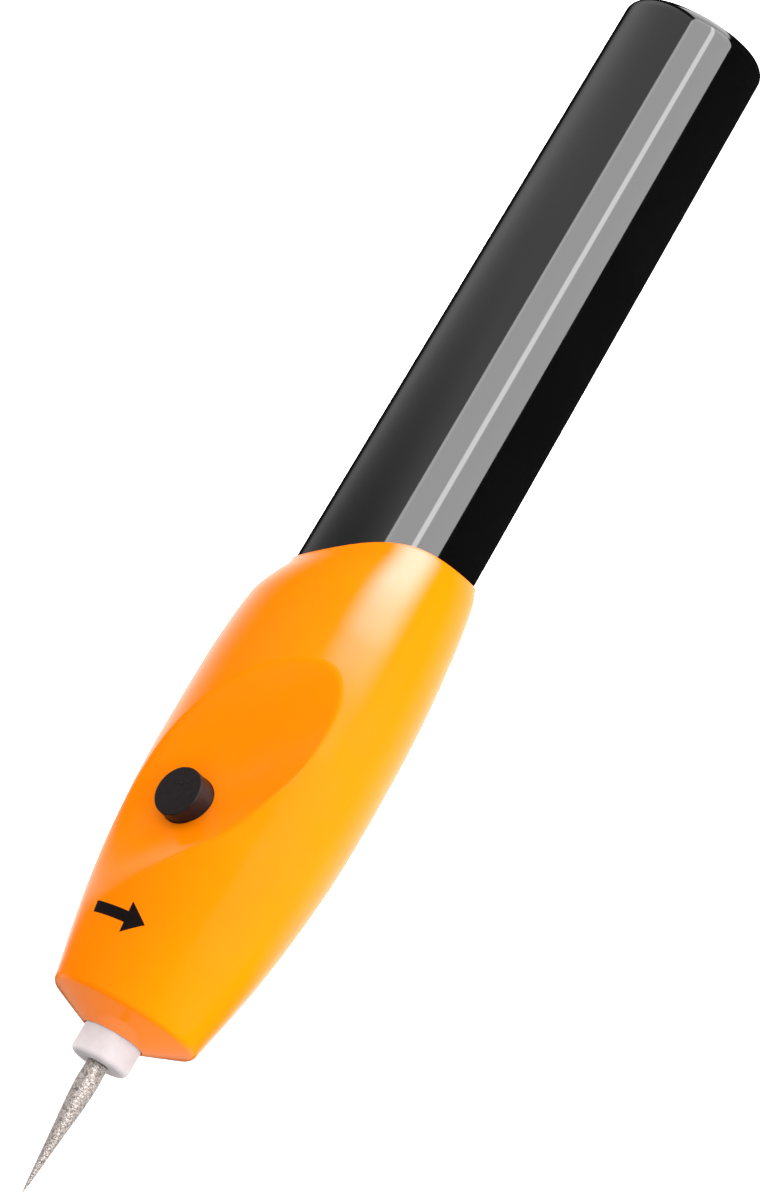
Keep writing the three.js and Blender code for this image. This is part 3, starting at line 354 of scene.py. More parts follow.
def turned_points(profile, sides):
    """Vertices and faces of a turned solid about Z. A profile that starts and ends on the axis closes there,
    and any other profile closes on itself."""
    on_axis = profile[0][0] == 0
    rings = profile[1:-1] if on_axis else profile
    vertices = []
    for radius, height in rings:
        for side in range(sides):
            angle = 2 * math.pi * side / sides
            vertices.append((radius * math.sin(angle), -radius * math.cos(angle), height))
    faces = ring_faces(len(rings), sides, closed=not on_axis)
    if on_axis:
        vertices += [(0, 0, profile[0][1]), (0, 0, profile[-1][1])]
        low, high = len(vertices) - 2, len(vertices) - 1
        last = len(rings) - 1
        for side in range(sides):
            after = (side + 1) % sides
            faces.append((low, after, side))
            faces.append((high, last * sides + side, last * sides + after))
    return vertices, faces


def turned(name, corners, material, sides=PART_SIDES):
    """A turned solid from corners of (radius, height, rounding)."""
    vertices, faces = turned_points(filleted(corners), sides)
    return make_object(name, vertices, faces, material)


# Materials

# How strong a noise's finer layers are, and the range in which nearly all of its values lie
NOISE_ROUGHNESS = 0.55
NOISE_LOW = 0.3
NOISE_HIGH = 0.7


class Paint:
    """A material with a principled shader, and short ways to drive it from noise in real sizes."""

    def __init__(self, name, colour, roughness, **values):
        self.material = bpy.data.materials.new(name)
        self.material.use_nodes = True
        self.tree = self.material.node_tree
        self.shader = self.tree.nodes["Principled BSDF"]
        self.colour = (*colour, 1)
        self.roughness = roughness
        self.place = self.node("ShaderNodeTexCoord").outputs["Object"]
        self.shader.inputs["Base Color"].default_value = self.colour
        self.shader.inputs["Roughness"].default_value = roughness
        for socket, value in values.items():
            self.shader.inputs[socket.replace("_", " ")].default_value = value

    def node(self, kind, **inputs):
        made = self.tree.nodes.new(kind)
        for socket, value in inputs.items():
            made.inputs[socket.replace("_", " ")].default_value = value
        return made

    def link(self, out, into):
        self.tree.links.new(out, into)

    def noise(self, size, detail, stretch=(1, 1, 1)):
        """Noise whose features are about as large as size, drawn out along an axis where stretch is small."""
        mapping = self.node("ShaderNodeMapping", Scale=stretch)
        self.link(self.place, mapping.inputs["Vector"])
        made = self.node("ShaderNodeTexNoise", Scale=1 / size, Detail=detail, Roughness=NOISE_ROUGHNESS)
        self.link(mapping.outputs["Vector"], made.inputs["Vector"])
        return made.outputs["Fac"]

    def cells(self, size, output="Color"):
        """Cells of about that size, each with a tone of its own or with the distance from its middle."""
        made = self.node("ShaderNodeTexVoronoi", Scale=1 / size, Randomness=1.0)
        self.link(self.place, made.inputs["Vector"])
        return made.outputs[output]

    def between(self, value, low, high, from_low=NOISE_LOW, from_high=NOISE_HIGH):
        """The value taken from its own range to between low and high."""
        made = self.node("ShaderNodeMapRange", From_Min=from_low, From_Max=from_high, To_Min=low, To_Max=high)
        self.link(value, made.inputs["Value"])
        return made.outputs["Result"]

    def tinted(self, value, other, start=None):
        """The base colour, or what the start gives in its place, goes to the other colour with the value."""
        mix = self.node("ShaderNodeMix")
        mix.data_type = "RGBA"
        mix.inputs["A"].default_value = self.colour
        if start is not None:
            self.link(start, mix.inputs["A"])
        mix.inputs["B"].default_value = (*other, 1)
        self.link(value, mix.inputs["Factor"])
        self.link(mix.outputs["Result"], self.shader.inputs["Base Color"])
        return mix.outputs["Result"]

    def varied_roughness(self, value, spread):
        self.link(self.between(value, self.roughness - spread, self.roughness + spread),
                  self.shader.inputs["Roughness"])

    def bumped(self, value, depth):
        bump = self.node("ShaderNodeBump", Strength=1.0, Distance=depth)
        self.link(value, bump.inputs["Height"])
        self.link(bump.outputs["Normal"], self.shader.inputs["Normal"])


def grained(name, colour, other, patch, roughness, grain, depth, gloss=None, spread=0, **values):
    """Two close colours in patches, an uneven gloss, and a grain of a real depth. The patches, the gloss
    and the grain are noises, each given by its size, its detail and, where it is drawn out, its stretch."""
    paint = Paint(name, colour, roughness, **values)
    paint.tinted(paint.between(paint.noise(*patch), 0.0, 1.0), other)
    if gloss:
        paint.varied_roughness(paint.noise(*gloss), spread)
    paint.bumped(paint.noise(*grain), depth)
    return paint.material


def bur_grit():
    """Plated grit: every grain takes its own tone, and noise patches are darkened as painted shade of pits
    between the grains.
    """
    paint = Paint("bur_grit", colour=(0.6, 0.54, 0.51), roughness=0.34, Metallic=0.75)
    dull_grains = paint.between(paint.cells(GRIT_SIZE), 0.0, 0.9, from_low=0.15, from_high=0.85)
    grains = paint.tinted(dull_grains, other=(0.22, 0.185, 0.16))
    # Painted shade: dark noise patches stand for the shade in pits between the grains
    pit_shade_patches = paint.between(paint.noise(size=0.38 * MM, detail=3.0), 0.0, 0.8, from_low=0.5, from_high=0.66)
    paint.tinted(pit_shade_patches, other=(0.1, 0.08, 0.07), start=grains)
    paint.varied_roughness(paint.noise(size=0.25 * MM, detail=2.0), spread=0.12)
    paint.bumped(paint.cells(0.12 * MM, "Distance"), depth=0.03 * MM)
    return paint.material


def ferrite():
    """Sintered magnet: dull, dark and slightly granular."""
    paint = Paint("ferrite", colour=(0.035, 0.035, 0.037), roughness=0.7)
    paint.tinted(paint.cells(0.2 * MM), other=(0.06, 0.06, 0.062))
    paint.bumped(paint.noise(size=0.15 * MM, detail=4.0), depth=0.02 * MM)
    return paint.material


def metal(name, colour, stain, roughness, stretch, grain):
    """Bare or plated metal with light staining, its grain drawn out where the stretch is small."""
    return grained(name, colour, other=stain, patch=(1.5 * MM, 4.0), roughness=roughness,
                   gloss=(grain, 3.0, stretch), spread=0.08, grain=(grain, 2.0, stretch), depth=0.004 * MM,
                   Metallic=1.0)


def insulation(name, colour, worn):
    """Soft insulated wire."""
    return grained(name, colour, other=worn, patch=(0.8 * MM, 3.0), roughness=0.5, grain=(0.2 * MM, 2.0),
                   depth=0.005 * MM, IOR=1.5)


EVEN = (1, 1, 1)
DRAWN = (1, 1, 0.1)
FINISHES = {
    # Satin orange moulding with faint flow marks
    "grip_orange": grained(
        "grip_plastic", colour=(0.93, 0.205, 0.0), other=(0.95, 0.215, 0.0), patch=(9 * MM, 3.0),
        roughness=0.085, gloss=(2.5 * MM, 4.0), spread=0.02, grain=(0.35 * MM, 3.0), depth=0.0025 * MM,
        IOR=1.58, Specular_Tint=(1, 0.72, 0.95, 1)),
    # Glossy black moulding with the faintest orange-peel and fine handling marks along its length
    "tube_black": grained(
        "tube_plastic", colour=(0.0014, 0.0014, 0.0015), other=(0.002, 0.002, 0.0021), patch=(14 * MM, 3.0),
        roughness=0.05, gloss=(1.2 * MM, 3.0, (3, 3, 0.15)), spread=0.012, grain=(3 * MM, 2.0),
        depth=0.0006 * MM, IOR=1.45),
    # Matt black rubbery plastic with a fine spark texture
    "button_black": grained(
        "button_plastic", colour=(0.0075, 0.0032, 0.004), other=(0.012, 0.0068, 0.0078),
        patch=(0.5 * MM, 4.0), roughness=0.45, gloss=(0.4 * MM, 3.0), spread=0.06, grain=(0.16 * MM, 3.0),
        depth=0.012 * MM, IOR=1.35),
    # Natural nylon, milky, slightly warm and lit from within
    "collar_white": grained(
        "collar_nylon", colour=(0.52, 0.47, 0.48), other=(0.58, 0.53, 0.54), patch=(1.6 * MM, 3.0),
        roughness=0.42, gloss=(0.6 * MM, 3.0), spread=0.05, grain=(0.3 * MM, 3.0), depth=0.006 * MM,
        IOR=1.45, Subsurface_Weight=0.6, Subsurface_Radius=(1.0, 0.85, 0.8), Subsurface_Scale=1.6 * MM),
    "bur_grit": bur_grit(),
    # Plain dark moulding for the hidden frame parts, with tooling marks
    "inner_plastic": grained(
        "inner_plastic", colour=(0.022, 0.022, 0.025), other=(0.035, 0.035, 0.039), patch=(4 * MM, 3.0),
        roughness=0.45, gloss=(1 * MM, 3.0), spread=0.08, grain=(0.3 * MM, 3.0, (1, 1, 0.2)),
        depth=0.008 * MM, IOR=1.5),
    "steel": metal("plated_steel", colour=(0.62, 0.62, 0.63), stain=(0.5, 0.49, 0.48), roughness=0.3,
                   stretch=DRAWN, grain=0.3 * MM),
    "copper": metal("copper", colour=(0.72, 0.33, 0.16), stain=(0.5, 0.2, 0.09), roughness=0.34,
                    stretch=EVEN, grain=0.25 * MM),
    "brass": metal("brass", colour=(0.72, 0.52, 0.22), stain=(0.55, 0.38, 0.15), roughness=0.32,
                   stretch=DRAWN, grain=0.25 * MM),
    "ferrite": ferrite(),
    # Plain shrink sleeve, faintly rippled where it tightened round the cell
    "cell_wrap": grained(
        "cell_sleeve", colour=(0.16, 0.195, 0.215), other=(0.2, 0.235, 0.255), patch=(6 * MM, 3.0),
        roughness=0.28, gloss=(1.5 * MM, 3.0), spread=0.05, grain=(1.8 * MM, 2.0, (1, 1, 0.3)),
        depth=0.02 * MM, IOR=1.5),
    "lead_red": insulation("insulation_red", colour=(0.38, 0.015, 0.012), worn=(0.3, 0.012, 0.01)),
    "lead_black": insulation("insulation_black", colour=(0.012, 0.012, 0.013), worn=(0.02, 0.02, 0.022)),
}
# Black printing ink that sits thinly on the plastic
ARROW_INK = grained(
    "arrow_paint", colour=(0.004, 0.0015, 0.0015), other=(0.009, 0.004, 0.004), patch=(0.3 * MM, 4.0),
    roughness=0.5, grain=(0.12 * MM, 2.0), depth=0.003 * MM, IOR=1.2)


def finish_cad_nodes():
    """Every node of the model takes the finish of its slot."""
    for part in frame["record"]["subparts"]:
        node = frame["nodes"][part["node"]]
        node.data.materials.clear()
        node.data.materials.append(FINISHES[part["material_slot"]])


def place(obj, body, slot, *nodes):
    """A piece moves with its body and stands for these nodes of the model. The slot is not used."""
    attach(obj, body)
    if nodes:
        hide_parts(*nodes)


# Battery tube

def battery_tube():
    """A tapered casing, closed and rounded at its tail and open at its lip."""
    corners = [
        (0, 0, 0),
        (TUBE_TAIL_RADIUS, 0, TUBE_TAIL_ROUNDING),
        (TUBE_HIGH.x, TUBE_HIGH.z, TUBE_LIP_ROUNDING),
        (TUBE_HIGH.x - TUBE_WALL, TUBE_HIGH.z, TUBE_LIP_ROUNDING),
        (TUBE_TAIL_RADIUS - TUBE_WALL, TUBE_FLOOR, TUBE_LIP_ROUNDING),
        (0, TUBE_FLOOR, 0),
    ]
    tube = turned("battery_tube_shell", corners, FINISHES["tube_black"], CASING_SIDES)
    place(tube, "battery_tube", "tube_black", "battery_tube")


# Grip

def dish_frame():
    """Middle of the dish's section, and its directions across, deep and along."""
    out = np.array((math.sin(DISH_AZIMUTH), -math.cos(DISH_AZIMUTH), 0))
    side = np.array((math.cos(DISH_AZIMUTH), math.sin(DISH_AZIMUTH), 0))
    up = np.array((0, 0, 1.0))
    across = math.cos(DISH_SLANT) * up - math.sin(DISH_SLANT) * side
    along = math.sin(DISH_SLANT) * up + math.cos(DISH_SLANT) * side
    deep = math.cos(DISH_PITCH) * out + math.sin(DISH_PITCH) * across
    across = math.cos(DISH_PITCH) * across - math.sin(DISH_PITCH) * out
    middle = DISH_HEIGHT * up + DISH_FLOOR_RADIUS * out + DISH_HALF_DEPTH * deep
    return middle, across, deep, along


def dish_reach(angle, height, wall=0.0):
    """Distance from the pen's axis at which a level line meets the dish's section, grown by a wall,
    and where along and across the dish that is. Near its ends the ellipse runs on as straight sides."""
    middle, across, deep, along = dish_frame()
    line = np.stack([np.sin(angle), -np.cos(angle), np.zeros_like(angle)], -1)
    start = np.stack([np.zeros_like(angle), np.zeros_like(angle), height], -1) - middle
    width, depth = DISH_HALF_WIDTH + wall, DISH_HALF_DEPTH + wall
    line_x, line_y = line @ across / width, line @ deep / depth
    start_x, start_y = start @ across / width, start @ deep / depth
    square = line_x**2 + line_y**2
    middle_term = line_x * start_x + line_y * start_y
    inside = middle_term**2 - square * (start_x**2 + start_y**2 - 1)
    reach = (-middle_term - np.sqrt(np.maximum(inside, 0))) / square
    on_ellipse = (inside > 0) & (reach > 0) & (np.abs(start_x + line_x * reach) < DISH_TANGENT_SHARE)
    tangent_y = -math.sqrt(1 - DISH_TANGENT_SHARE**2)
    steepness = -DISH_TANGENT_SHARE / tangent_y
    beyond = np.zeros_like(reach)
    for way in (-1, 1):
        rise = line_y - way * steepness * line_x
        gap = tangent_y + steepness * (way * start_x - DISH_TANGENT_SHARE) - start_y
        enters = rise > 0
        beyond = np.maximum(beyond, np.where(enters, gap / np.where(enters, rise, 1), FAR))
    reach = np.where(on_ellipse, reach, beyond)
    point = start + line * np.minimum(reach, GRIP_RADIUS)[..., None]
    return reach, point @ across / width, point @ along


def dished(radius, angle, height):
    """The grip's radius with the dish pressed in, its edge crisp on one side and soft on the others."""
    reach, across, along = dish_reach(angle, height)
    lower_side = ramp(across, *DISH_SIDE_SHARES)
    crisp_end = DISH_UPPER_CRISP_END + (DISH_LOWER_CRISP_END - DISH_UPPER_CRISP_END) * lower_side
    soft_edge = DISH_UPPER_EDGE + (DISH_LOWER_EDGE - DISH_UPPER_EDGE) * lower_side
    softened = ramp(along - crisp_end, 0, DISH_SOFTENING)
    edge = DISH_CRISP_EDGE + (soft_edge - DISH_CRISP_EDGE) * softened
    # The smaller of the two radii, blended by a cubic where they are closer than the edge's rounding
    near = np.clip(1 - np.abs(reach - radius) / edge, 0, 1)
    return np.minimum(reach, radius) - edge * near**3 / 6


def spaced(low, high, fine_low, fine_high, fine, coarse):
    """Places from low to high, close together between fine_low and fine_high."""
    def run(start, end, step):
        count = max(1, round((end - start) / step))
        return [start + (end - start) * index / count for index in range(count)]

    return run(low, fine_low, coarse) + run(fine_low, fine_high, fine) + run(fine_high, high, coarse)


def rim_share(angle):
    """How much of the wide rounding the rim has at an angle."""
    return (1 + np.cos(angle - GRIP_RIM_SLANT_AZIMUTH)) / 2


def rim_height(angle):
    """The rear rim is slanted, with a lobe towards the tail at right angles to the slant."""
    turn = angle - GRIP_RIM_SLANT_AZIMUTH
    return GRIP_RIM_HEIGHT + GRIP_RIM_SLANT * np.cos(turn) - GRIP_RIM_LOBE * np.sin(turn) ** 4


def rear_radius(angle, ways):
    """Radii along one line of the rear part, at shares of the way from the rim to the widest place."""
    wide_share = rim_share(angle)
    knots = [
        (tight[0] + (wide[0] - tight[0]) * wide_share, tight[1] + (wide[1] - tight[1]) * wide_share)
        for wide, tight in GRIP_REAR_SHARES
    ]
    return GRIP_RADIUS * flowing(ways, knots)


def nose_radius(height):
    """Radius of the front part at a height, without its rounded corner at the nose."""
    way = (height - GRIP_WIDEST_HEIGHT) / (GRIP_HIGH.z - GRIP_WIDEST_HEIGHT)
    return GRIP_RADIUS * flowing(way, GRIP_NOSE_SHARES)


def grip_rows(angles):
    """Rows of radii and heights up the outside of the grip and back down its inside, whose cavity leaves
    the dish its wall."""
    ones = np.ones_like(angles)
    rows = []
    span = GRIP_WIDEST_HEIGHT - GRIP_RIM_HEIGHT
    fine_way = (GRIP_FINE_LOW - GRIP_RIM_HEIGHT) / span
    step = GRIP_FINE_STEP / span
    ways = np.array(spaced(0, 1, fine_way, 1, step, step))
    rear = np.array([rear_radius(angle, ways) for angle in angles]).T
    for way, radii in zip(ways, rear):
        heights = rim_height(angles) + (GRIP_WIDEST_HEIGHT - rim_height(angles)) * way
        rows.append((dished(radii, angles, heights), heights))
    body_end = GRIP_NOSE_CORNER_HEIGHT - 2 * GRIP_NOSE_CORNER_ROUNDING
    for height in spaced(GRIP_WIDEST_HEIGHT, body_end, GRIP_WIDEST_HEIGHT, GRIP_FINE_HIGH, GRIP_FINE_STEP,
                         GRIP_COARSE_STEP):
        heights = height * ones
        rows.append((dished(nose_radius(height) * ones, angles, heights), heights))
    web_high = COLLAR_LOW.z - TOUCH_GAP
    web_low = web_high - GRIP_WEB
    seat = CAN_HIGH.x + TOUCH_GAP
    inner = filleted([
        (float(nose_radius(body_end)), body_end, 0),
        (float(nose_radius(GRIP_NOSE_CORNER_HEIGHT)), GRIP_NOSE_CORNER_HEIGHT, GRIP_NOSE_CORNER_ROUNDING),
        (GRIP_NOSE_BORE_RADIUS, GRIP_HIGH.z, GRIP_NOSE_BORE_ROUNDING),
        (GRIP_NOSE_BORE_RADIUS, web_high, 0),
        (GRIP_WEB_HOLE_RADIUS, web_high, 0),
        (GRIP_WEB_HOLE_RADIUS, web_low, 0),
        (seat, web_low, 0),
        (seat, CAN_LOW.z, 0),
        (GRIP_CAVITY_RADIUS, CAN_LOW.z, 0),
    ])
    cavity = inner[-2:]
    for radius, height in inner[:-2]:
        rows.append((radius * ones, height * ones))
    socket_top = TUBE_HIGH.z + TOUCH_GAP
    count = round((CAN_LOW.z - socket_top) / GRIP_INNER_STEP)
    for step in range(1, count + 1):
        cavity.append((GRIP_CAVITY_RADIUS, CAN_LOW.z + (socket_top - CAN_LOW.z) * step / count))
    for radius, height in cavity:
        heights = height * ones
        rows.append((np.minimum(radius, dish_reach(angles, heights, DISH_WALL)[0]), heights))
    rows.append((GRIP_SOCKET_RADIUS * ones, socket_top * ones))
    rim_radius = GRIP_RADIUS * GRIP_RIM_SHARE
    rim_wall = rim_radius - GRIP_SOCKET_RADIUS
    edge = filleted([
        (GRIP_SOCKET_RADIUS, GRIP_RIM_STRAIGHT, 0),
        (GRIP_SOCKET_RADIUS, 0, rim_wall * GRIP_RIM_INNER_SHARE),
        (rim_radius, 0, rim_wall * GRIP_RIM_OUTER_SHARE),
        (rim_radius, GRIP_RIM_STRAIGHT, 0),
    ])[1:-1]
    for radius, height in edge:
        rows.append((radius * ones, rim_height(angles) + height - GRIP_RIM_EDGE))
    return rows


def grip():
    """The moulding: rows that run up its outside and back down its inside, with a hole for the button."""
    coarse = GRIP_COARSE_STEP / GRIP_RADIUS
    angles = np.array(spaced(-math.pi, math.pi, -GRIP_FINE_SPAN, GRIP_FINE_SPAN, GRIP_FINE_STEP / GRIP_RADIUS,
                             coarse))
    rows = grip_rows(angles)
    vertices = np.concatenate([
        np.stack([radii * np.sin(angles), -radii * np.cos(angles), heights], -1) for radii, heights in rows
    ])
    faces = ring_faces(len(rows), len(angles), closed=True)
    shell = make_object("grip_moulding", vertices, faces, FINISHES["grip_orange"])
    cut_button_hole(shell)
    place(shell, "root", "grip_orange", "grip_shell")


def face_the_front(obj):
    """Turn a piece that was made about Z to point out through the button's place."""
    obj.data.transform(Matrix.Translation((0, 0, BUTTON_HEIGHT)) @ Matrix.Rotation(math.pi / 2, 4, "X"))


def cut_button_hole(shell):
    outside = GRIP_RADIUS + CUT_OVERRUN
    profile = [(0, 0), (BUTTON_HOLE_RADIUS, 0), (BUTTON_HOLE_RADIUS, outside), (0, outside)]
    cutter = make_object("button_hole", *turned_points(profile, PART_SIDES), FINISHES["grip_orange"])
    face_the_front(cutter)
    hole = shell.modifiers.new("button_hole", "BOOLEAN")
    hole.operation = "DIFFERENCE"
    hole.solver = "EXACT"
    hole.object = cutter
    apply_modifiers(shell)
    bpy.data.objects.remove(cutter)
    smooth(shell.data)


def apply_modifiers(obj):
    """The mesh becomes what its modifiers make of it."""
    made = bpy.data.meshes.new_from_object(obj.evaluated_get(bpy.context.evaluated_depsgraph_get()))
    obj.modifiers.clear()
    obj.data = made


def turning_arrow():
    """The printed arrow: a thin skin of paint that follows the grip."""
    vertices, faces = [], []

    def strip(start, end, start_width, end_width):
        count = max(2, round(abs(end - start) / ARROW_ANGLE_STEP))
        first = len(vertices)
        for column in range(count + 1):
            share = column / count
            angle = start + (end - start) * share
            width = start_width + (end_width - start_width) * share
            for level in (0, 1):
                for row in range(ARROW_ROWS + 1):
                    height = ARROW_HEIGHT + width * (row / ARROW_ROWS - 0.5)
                    radius = float(nose_radius(height)) + ARROW_PAINT * level
                    vertices.append((radius * math.sin(angle), -radius * math.cos(angle), height))
        size = ARROW_ROWS + 1
        loop = list(range(size)) + list(range(2 * size - 1, size - 1, -1))
        for column in range(count):
            here, there = first + column * 2 * size, first + (column + 1) * 2 * size
            for index, point in enumerate(loop):
                after = loop[(index + 1) % len(loop)]
                faces.append((here + point, here + after, there + after, there + point))
        for cap in (first, first + count * 2 * size):
            for row in range(ARROW_ROWS):
                faces.append((cap + row, cap + row + 1, cap + size + row + 1, cap + size + row))

    strip(ARROW_START, ARROW_NECK, ARROW_SHAFT_WIDTH, ARROW_SHAFT_WIDTH)
    strip(ARROW_NECK, ARROW_TIP, ARROW_HEAD_WIDTH, ARROW_PAINT)
    arrow = make_object("turning_arrow", vertices, faces, ARROW_INK)
    place(arrow, "root", None)


# Power button

def power_button():
    """Cap, flange and stem, turned about the button's own axis."""
    reach = BUTTON_PROUD - BUTTON_LOW.y
    stem_end = -BUTTON_HIGH.y
    flange_low = BUTTON_FLANGE_REACH - BUTTON_FLANGE_THICKNESS
    profile = filleted([
        (0, stem_end, 0),
        (BUTTON_STEM_RADIUS, stem_end, BUTTON_EDGE_ROUNDING),
        (BUTTON_STEM_RADIUS, flange_low, 0),
        (BUTTON_HIGH.x, flange_low, 0),
        (BUTTON_HIGH.x, BUTTON_FLANGE_REACH, 0),
        (BUTTON_RADIUS, BUTTON_FLANGE_REACH, 0),
        (BUTTON_RADIUS, reach - BUTTON_CROWN, BUTTON_EDGE_ROUNDING),
        (0, reach, 0),
    ])
    vertices, faces = turned_points(profile, PART_SIDES)
    for x, z, radius in BUTTON_SPECKS:
        level = reach - BUTTON_CROWN
        speck = filleted([
            (0, level - radius, 0),
            (radius, level - radius, 0),
            (radius, level + radius, radius * SPECK_ROUNDING_SHARE),
            (0, level + radius, 0),
        ])
        points, rings = turned_points(speck, SPECK_SIDES)
        first = len(vertices)
        vertices += [(px + x, py + z, pz) for px, py, pz in points]
        faces += [tuple(index + first for index in face) for face in rings]
    button = make_object("power_button_cap", vertices, faces, FINISHES["button_black"])
    face_the_front(button)
    place(button, "button", "button_black", "power_button")


# Chuck collar and bur

def chuck_collar():
    """A sleeve with a bore for the motor's shaft behind and one for the bur's shank in front."""
    face = COLLAR_HIGH.z
    shoulder = BUR_LOW.z - TOUCH_GAP
    collar = turned("chuck_sleeve", [
        (SHAFT_BORE_RADIUS, COLLAR_LOW.z, 0),
        (COLLAR_HIGH.x, COLLAR_LOW.z, COLLAR_BACK_CORNER),
        (COLLAR_HIGH.x, face, COLLAR_CORNER),
        (SHANK_BORE_RADIUS + COLLAR_MOUTH_CHAMFER, face, 0),
        (SHANK_BORE_RADIUS, face - COLLAR_MOUTH_CHAMFER, 0),
        (SHANK_BORE_RADIUS, shoulder, 0),
        (SHAFT_BORE_RADIUS, shoulder, 0),
    ], FINISHES["collar_white"])
    place(collar, "spindle", "collar_white", "chuck_collar")


def engraving_bur():
    """Shank and tapered head. Each cell of a noise is a grain that stands up from the head."""
    head_low = COLLAR_HIGH.z + RUNNING_GAP
    length = BUR_HIGH.z - head_low
    count = round(length / BUR_STEP)
    ways = np.arange(count + 1) / count
    knots = [*BUR_HEAD_SHARES, (1, BUR_TIP_RADIUS / BUR_HEAD_RADIUS)]
    radii = BUR_HEAD_RADIUS * flowing(ways, knots)
    profile = [
        (0, BUR_LOW.z),
        (SHANK_RADIUS - RUNNING_GAP, BUR_LOW.z),
        (SHANK_RADIUS, BUR_LOW.z + RUNNING_GAP),
        (SHANK_RADIUS, head_low),
    ]
    smooth_rings = len(profile) - 1
    profile += [(radius, head_low + length * way) for radius, way in zip(radii, ways)]
    profile.append((0, BUR_HIGH.z))
    vertices, faces = turned_points(profile, BUR_SIDES)
    for index in range(smooth_rings * BUR_SIDES, len(vertices) - 2):
        point = Vector(vertices[index])
        way = (point.z - head_low) / length
        radius = math.hypot(point.x, point.y)
        near = noise.voronoi(point / GRIT_SIZE)[0]
        started = float(ramp(way, *GRIT_START_SHARES))
        grain = (near[1] - near[0]) * started * min(1, radius / GRIT_THIN_RADIUS)
        inward = GRIT_RISE * (GRIT_FULL_HEIGHT - float(np.clip(grain, 0, GRIT_FULL_HEIGHT)))
        scale = max((radius - inward * started) / radius, GRIT_LEAST_SHARE)
        vertices[index] = (point.x * scale, point.y * scale, point.z)
    bur = make_object("grit_bur", vertices, faces, FINISHES["bur_grit"])
    place(bur, "bur", "bur_grit", "engraving_bur")


# Batteries

def battery_cells():
    """Each cell has a plain sleeve folded over its ends and bare metal inside the fold."""
    for node in ("battery_rear", "battery_front"):
        low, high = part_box(node)
        top = high.z - CELL_NUB_LENGTH
        cell = turned(node + "_cell", [
            (0, low.z + CELL_END_RECESS, 0),
            (CELL_END_RADIUS, low.z + CELL_END_RECESS, 0),
            (CELL_END_RADIUS, low.z, 0),
            (CELL_SLEEVE_RADIUS, low.z, CELL_CORNER),
            (CELL_SLEEVE_RADIUS, top, CELL_CORNER),
            (CELL_END_RADIUS, top, 0),
            (CELL_END_RADIUS, top - CELL_END_RECESS, 0),
            (CELL_NUB_RADIUS, top - CELL_END_RECESS, 0),
            (CELL_NUB_RADIUS, high.z, RUNNING_GAP),
            (0, high.z, 0),
        ], FINISHES["cell_wrap"])
        cell.data.materials.append(FINISHES["steel"])
        for polygon in cell.data.polygons:
            if math.hypot(polygon.center.x, polygon.center.y) < CELL_END_RADIUS:
                polygon.material_index = 1
        place(cell, "root", "cell_wrap", node)


# Studio

def camera():
    """It looks from one side and rolls, so that the pen lies slanted in the picture with its tip low."""
    back = math.cos(CAMERA_ELEVATION) * CAMERA_SIDE + math.sin(CAMERA_ELEVATION) * UP
    tailwards = math.sin(CAMERA_ELEVATION) * CAMERA_SIDE - math.cos(CAMERA_ELEVATION) * UP
    right = math.cos(CAMERA_ROLL) * CAMERA_RIGHT + math.sin(CAMERA_ROLL) * tailwards
    up = math.cos(CAMERA_ROLL) * tailwards - math.sin(CAMERA_ROLL) * CAMERA_RIGHT
    aim = CAMERA_AIM_HEIGHT * UP + CAMERA_AIM_SIDE * CAMERA_RIGHT
    data = bpy.data.cameras.new("camera")
    data.sensor_fit = "AUTO"
    data.sensor_width = CAMERA_SENSOR
    data.lens = CAMERA_LENS
    obj = bpy.data.objects.new("camera", data)
    bpy.context.scene.collection.objects.link(obj)
    turn = Matrix((right, up, back)).transposed().to_4x4()
    obj.matrix_world = Matrix.Translation(aim + CAMERA_DISTANCE * back) @ turn
    bpy.context.scene.camera = obj


def direction(azimuth, elevation):
    """A direction from the pen, by its turn from the camera's side towards the picture's right."""
    level = math.cos(azimuth) * CAMERA_SIDE + math.sin(azimuth) * CAMERA_RIGHT
    return math.cos(elevation) * level + math.sin(elevation) * UP


def panel(groups, in_gloss, name, azimuths, elevations, brightness, lit=None, blocked_by=None,
          soft=(0, 0, 0, 0), tilt=0, distance_share=1):
    """One light, as its row in the lists of lights describes it."""
    distance = LIGHT_DISTANCE * distance_share
    left, right = (math.radians(angle) for angle in azimuths)
    low, high = (math.radians(angle - tilt) for angle in elevations)
    out = direction((left + right) / 2, math.radians(tilt))
    side = UP.cross(out).normalized()
    upwards = out.cross(side)
    data = bpy.data.lights.new(name, "AREA")
    data.shape = "RECTANGLE"
    data.size = 2 * distance * math.cos(math.radians(tilt)) * math.tan((right - left) / 2)
    data.size_y = distance * (math.tan(high) - math.tan(low))
    data.energy = brightness * WATTS_PER_BRIGHTNESS * data.size * data.size_y
    obj = bpy.data.objects.new(name, data)
    bpy.context.scene.collection.objects.link(obj)
    middle = out + upwards * (math.tan(high) + math.tan(low)) / 2
    turn = Matrix((side, upwards, out)).transposed().to_4x4()
    obj.matrix_world = Matrix.Translation(CAMERA_AIM_HEIGHT * UP + distance * middle) @ turn
    obj.visible_camera = False
    obj.visible_glossy = in_gloss
    obj.visible_diffuse = not in_gloss
    if lit:
        obj.light_linking.receiver_collection = groups[lit]
    if blocked_by:
        obj.light_linking.blocker_collection = groups[blocked_by]
    if any(soft):
        soften(data, soft)


